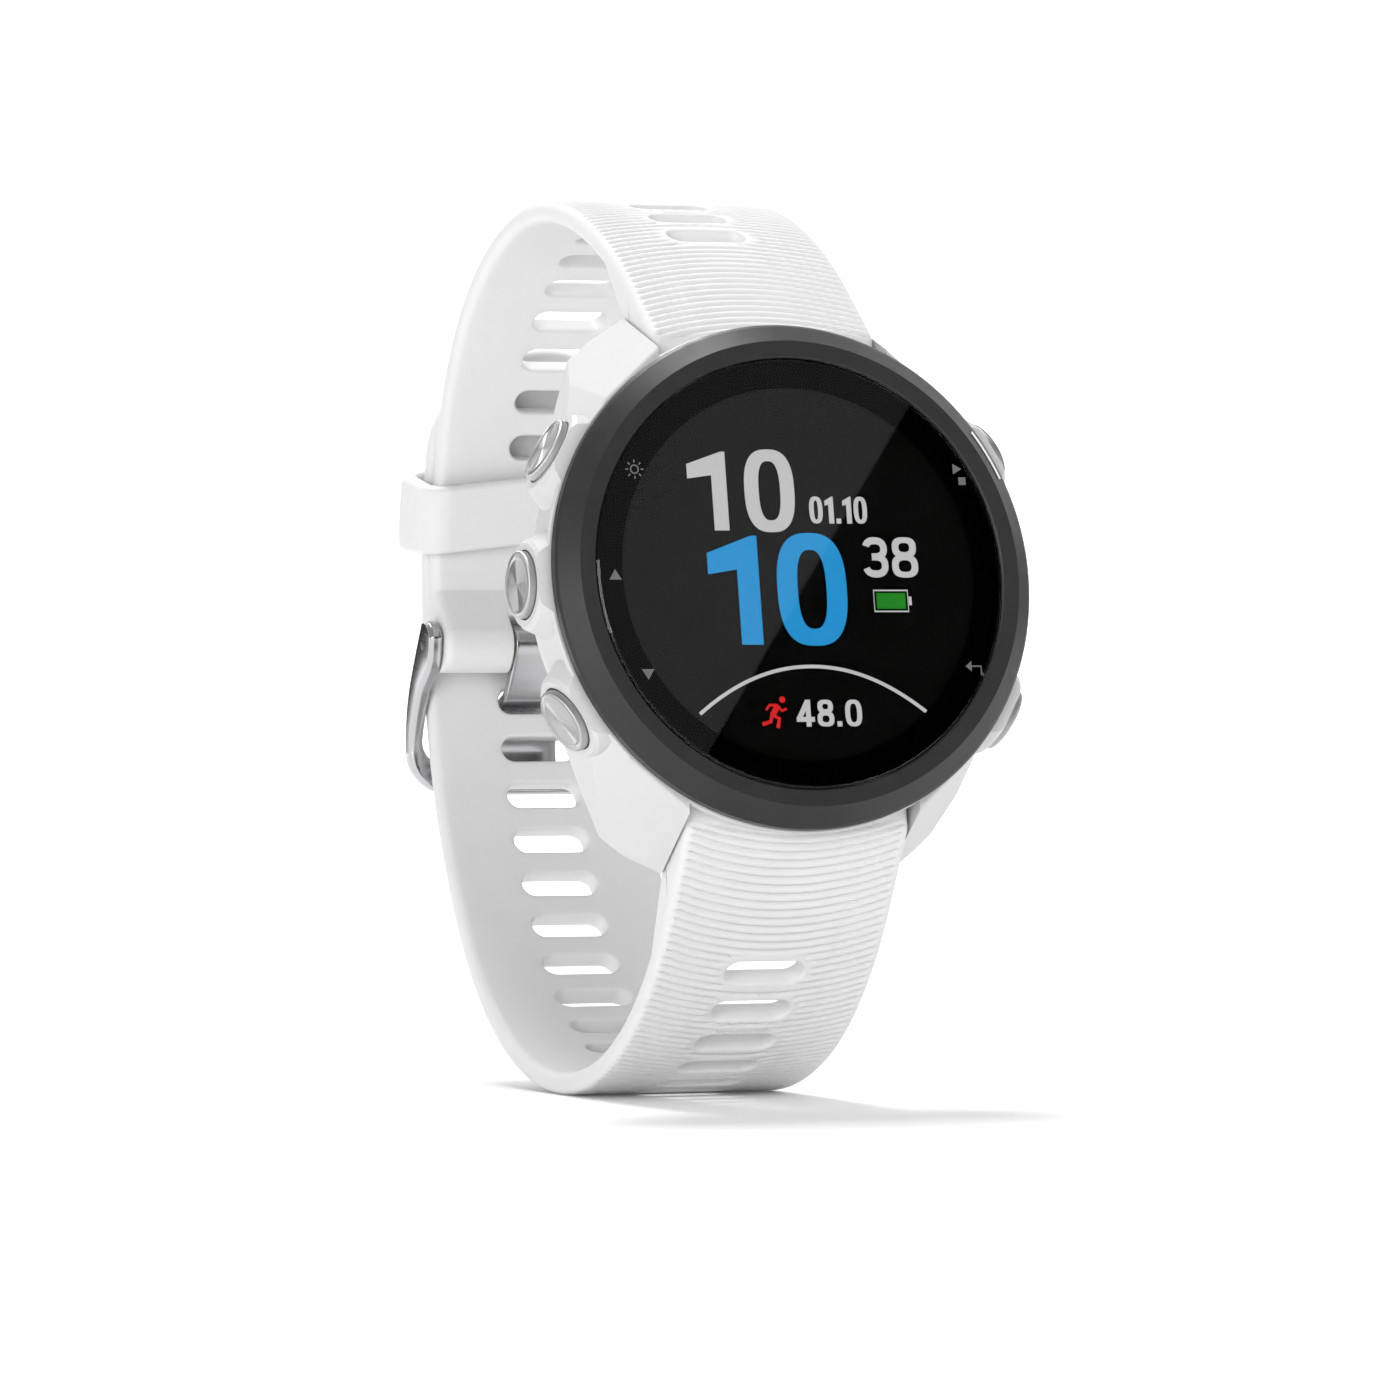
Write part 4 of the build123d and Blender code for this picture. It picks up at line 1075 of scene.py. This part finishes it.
def dial():
    flat_piece("glass_mask", [annulus(17.97, SCREEN_R)], MASK_Y, "mask_black", "display_black")
    flat_piece("hours", digit("1", -9.32, 3.63, 3.45, 6.6, 1.22) + digit("0", -4.32, 3.5, 4.45, 6.95, 1.27),
               INK_Y, "ink_grey_painted_glow", "display_black")
    flat_piece("minutes", digit("1", -8.05, -5.9, 4.5, 9.1, 1.78) + digit("0", -2.0, -6.0, 6.2, 9.45, 1.82),
               INK_Y, "ink_blue_painted_glow", "display_black")
    small = numerals("01.10", 1.34, 4.25, (1.2, 0.78, 0.42, 0.78, 1.2), 2.27, 0.42, 0.2)
    seconds = numerals("38", 5.8, -0.28, (2.3, 2.35), 3.4, 0.6, 0.32)
    distance = numerals("48.0", -1.1, -12.74, (1.62, 1.5, 0.52, 1.5), 2.24, 0.44, 0.24)
    battery = [ribbon([(6.58, -3.12), (9.62, -3.12), (9.62, -1.36), (6.58, -1.36)], 0.14, True),
               polygon((9.69, -2.6), (9.95, -2.6), (9.95, -1.88), (9.69, -1.88))]
    swell = [(x, -7.73 - 3.93 * (abs(x - 0.53) / 10.15) ** 2.05) for x in np.linspace(-9.61, 10.69, 61)]
    flat_piece("small_figures", small + seconds + distance + battery + [ribbon(swell, 0.3)],
               INK_Y, "ink_grey_painted_glow", "display_black")
    flat_piece("charge_level", [polygon((6.8, -2.9), (9.4, -2.9), (9.4, -1.58), (6.8, -1.58))], INK_Y,
               "ink_green_painted_glow", "display_black")
    flat_piece("runner", runner(-3.05, -11.6, 2.6), INK_Y, "ink_red_painted_glow", "display_black")

    def triangle(x, z, size, up):
        rise = up * size * 0.8
        return polygon((x - size, z - rise), (x + size, z - rise), (x, z + rise))

    lamp_x, lamp_z = -13.95, 8.69
    lamp = [ribbon(ellipse_arc(lamp_x, lamp_z, 0.34, 0.34, 0, 360, 24)[:-1], 0.12, True)]
    lamp += [ribbon([(lamp_x + r * cos(a), lamp_z + r * sin(a)) for r in (0.55, 0.8)], 0.12)
             for a in full_turn(8)]
    go = [polygon((14.5, 9.35), (15.3, 8.9), (14.5, 8.45)),
          polygon((14.95, 8.2), (15.6, 8.2), (15.6, 7.55), (14.95, 7.55))]
    back = [ribbon([(15.75, -8.5), (15.75, -7.75), (14.85, -7.75)], 0.14),
            polygon((14.9, -7.3), (14.9, -8.2), (14.35, -7.75))]
    up_and_down = [triangle(-16.25, -0.07, 0.55, 1), triangle(-13.95, -8.37, 0.55, -1)]
    flat_piece("side_marks", lamp + go + back + up_and_down, MARK_Y, "ink_faint_painted_glow", "display_black")


def bezel_mark():
    """Raised pale line on the chamfer, beside the start button."""
    low, high = (20.42, 0.83), (20.72, 1.12)
    points = []
    for a in np.radians(np.linspace(23.3, 36.1, 25)):
        for r, y in (low, high):
            points += [(r * cos(a), y, r * sin(a)), (r * cos(a), y - 0.06, r * sin(a))]
    faces = []
    for n in range(24):
        a, b = 4 * n, 4 * n + 4
        faces += [(a + 1, b + 1, b + 3, a + 3), (a, a + 2, b + 2, b),
                  (a, b, b + 1, a + 1), (a + 2, a + 3, b + 3, b + 2)]
    faces += [(0, 1, 3, 2), (96, 98, 99, 97)]
    new_object("bezel_line", mesh_of(points, faces), "ink_line", "watch", slot="bezel_grey")


# --------------------------------------------------
# Floor and light
# --------------------------------------------------
FLOOR_WHITE = (0.93, 0.93, 0.93)
FLOOR_GLOW, BACKDROP_GLOW = 0.03, 0.60
FLOOR_RADIUS = 0.45         # the lit backdrop starts this far from the watch, all round


def studio():
    """Pale floor round the watch, and beyond it a lit sheet that curves up into a wall behind."""
    reach, far, sweep, top, half, count = 12.0, 1.2, 0.8, 4.0, 4.0, 64
    turns = full_turn(count)
    points = [(FLOOR_RADIUS * cos(a), FLOOR_RADIUS * sin(a), 0) for a in turns]
    points += [(reach * cos(a), reach * sin(a), 0) for a in turns]
    faces = [tuple(range(count))]
    faces += [(n, count + n, count + (n + 1) % count, (n + 1) % count) for n in range(count)]
    bend = [(far + sweep * sin(a), sweep * (1 - cos(a))) for a in np.linspace(0, pi / 2, 17)]
    profile = bend + [(far + sweep, top)]
    first = len(points)
    points += [(x, y, z) for y, z in profile for x in (-half, half)]
    faces += quads(len(profile), 2, loop=False, first=first)
    mesh = bpy.data.meshes.new("studio")
    mesh.from_pydata(points, [], faces)
    for face in mesh.polygons:
        face.use_smooth = face.index > count
        face.material_index = 0 if face.index == 0 else 1
    floor = linked("studio", mesh)
    floor.rotation_euler = (0, 0, AZIMUTH)
    for name, glow in (("floor_white", FLOOR_GLOW), ("backdrop_white", BACKDROP_GLOW)):
        sheet = shader(name, FLOOR_WHITE, 0.9, Emission_Color=(1, 1, 1, 1), Emission_Strength=glow)
        mesh.materials.append(sheet)


def area(name, location, target, size, power):
    """A square soft light that faces a target."""
    light = bpy.data.lights.new(name, "AREA")
    light.energy = power
    light.size = size
    lamp = linked(name, light)
    lamp.location = location
    lamp.rotation_euler = (Vector(target) - Vector(location)).to_track_quat("-Z", "Y").to_euler()


def reflection_card(name, corners, glow):
    """Panel hidden from the camera, from diffuse light and from shadows: only gloss and glass see it."""
    mesh = bpy.data.meshes.new(name)
    mesh.from_pydata([tuple(c) for c in corners], [], [tuple(range(len(corners)))])
    card = linked(name, mesh)
    mesh.materials.append(shader(name, (0, 0, 0), 1.0, Specular_IOR_Level=0.0, Emission_Color=(1, 1, 1, 1),
                                 Emission_Strength=glow))
    card.visible_camera = False
    card.visible_diffuse = False
    card.visible_shadow = False


FLAG_GLOW = 0.02
FLAGS = {                   # centre, the way it faces, width and height in metres
    "flag_behind": ((-0.30, 0.85, 0.16), (0.3, -1, 0), 0.5, 0.30),
    "flag_left": ((-0.95, 0.1, 0.10), (1, 0, 0), 0.35, 0.5),
    "flag_right": ((0.9, 0.2, 0.05), (-1, 0, 0), 0.5, 0.4),
}


def dark_flags():
    """Black boards behind and beside the watch, seen only by its metal and gloss."""
    for name, (centre, facing, width, height) in FLAGS.items():
        turn = Vector(facing).to_track_quat("Z", "Y").to_matrix().to_4x4()
        place = Matrix.Translation(Vector(centre)) @ turn
        corners = [place @ Vector((x * width / 2, y * height / 2, 0))
                   for x, y in ((-1, -1), (1, -1), (1, 1), (-1, 1))]
        reflection_card(name, corners, FLAG_GLOW)


CARD_DISTANCE, CARD_WIDTH, CARD_PAST, CARD_GLOW = 0.8, 0.6, 0.5, 0.45
EDGE_TOP, EDGE_FOOT = (11.26, 14.8), (-9.13, -14.6)     # ends of the reflected edge on the glass


def reflections():
    """A grey card and a dark flag whose shared edge crosses the glass."""
    def mirrored_from(x, z):
        spot = Vector(to_row([(x, LENS_FRONT, z)])[0])
        ray = (spot - camera.location).normalized()
        return spot, ray - 2 * ray.dot(OUT) * OUT

    centre, axis = mirrored_from(0, 0)
    board = centre + axis * CARD_DISTANCE

    def landing(x, z):
        spot, ray = mirrored_from(x, z)
        return spot + ray * ((board - spot).dot(axis) / ray.dot(axis))

    top, foot = landing(*EDGE_TOP), landing(*EDGE_FOOT)
    edge = (top - foot).normalized()
    across = edge.cross(axis).normalized()
    if (landing(10, -5) - foot).dot(across) < 0:
        across.negate()
    high, low = top + edge * CARD_PAST, foot - edge * CARD_PAST
    for name, step, glow in (("card_light", -across, CARD_GLOW), ("card_dark", across, 0.0)):
        reflection_card(name, [high, low, low + step * CARD_WIDTH, high + step * CARD_WIDTH], glow)


WORLD_STRENGTH = 0.43
LIGHTS = {                  # location, target, size in metres and power in watts
    "overhead": ((0, 0.45, 1.2), (0, 0.05, 0), 0.45, 12.0),
    "key": ((0.10, -0.95, 0.45), CENTRE, 0.6, 2.1),
    "fill": ((-0.75, -0.75, 0.12), CENTRE, 0.6, 7.2),
}

for make in (lower_strap, upper_strap, keeper, buckle_frame, tongue, buckle_pins, buttons, springs, dial,
             bezel_mark):
    make()

studio()
reflections()
dark_flags()
world = bpy.data.worlds.new("world")
scene.world = world
world.use_nodes = True
world.node_tree.nodes["Background"].inputs["Color"].default_value = (1, 1, 1, 1)
world.node_tree.nodes["Background"].inputs["Strength"].default_value = WORLD_STRENGTH
for name, light in LIGHTS.items():
    area(name, *light)
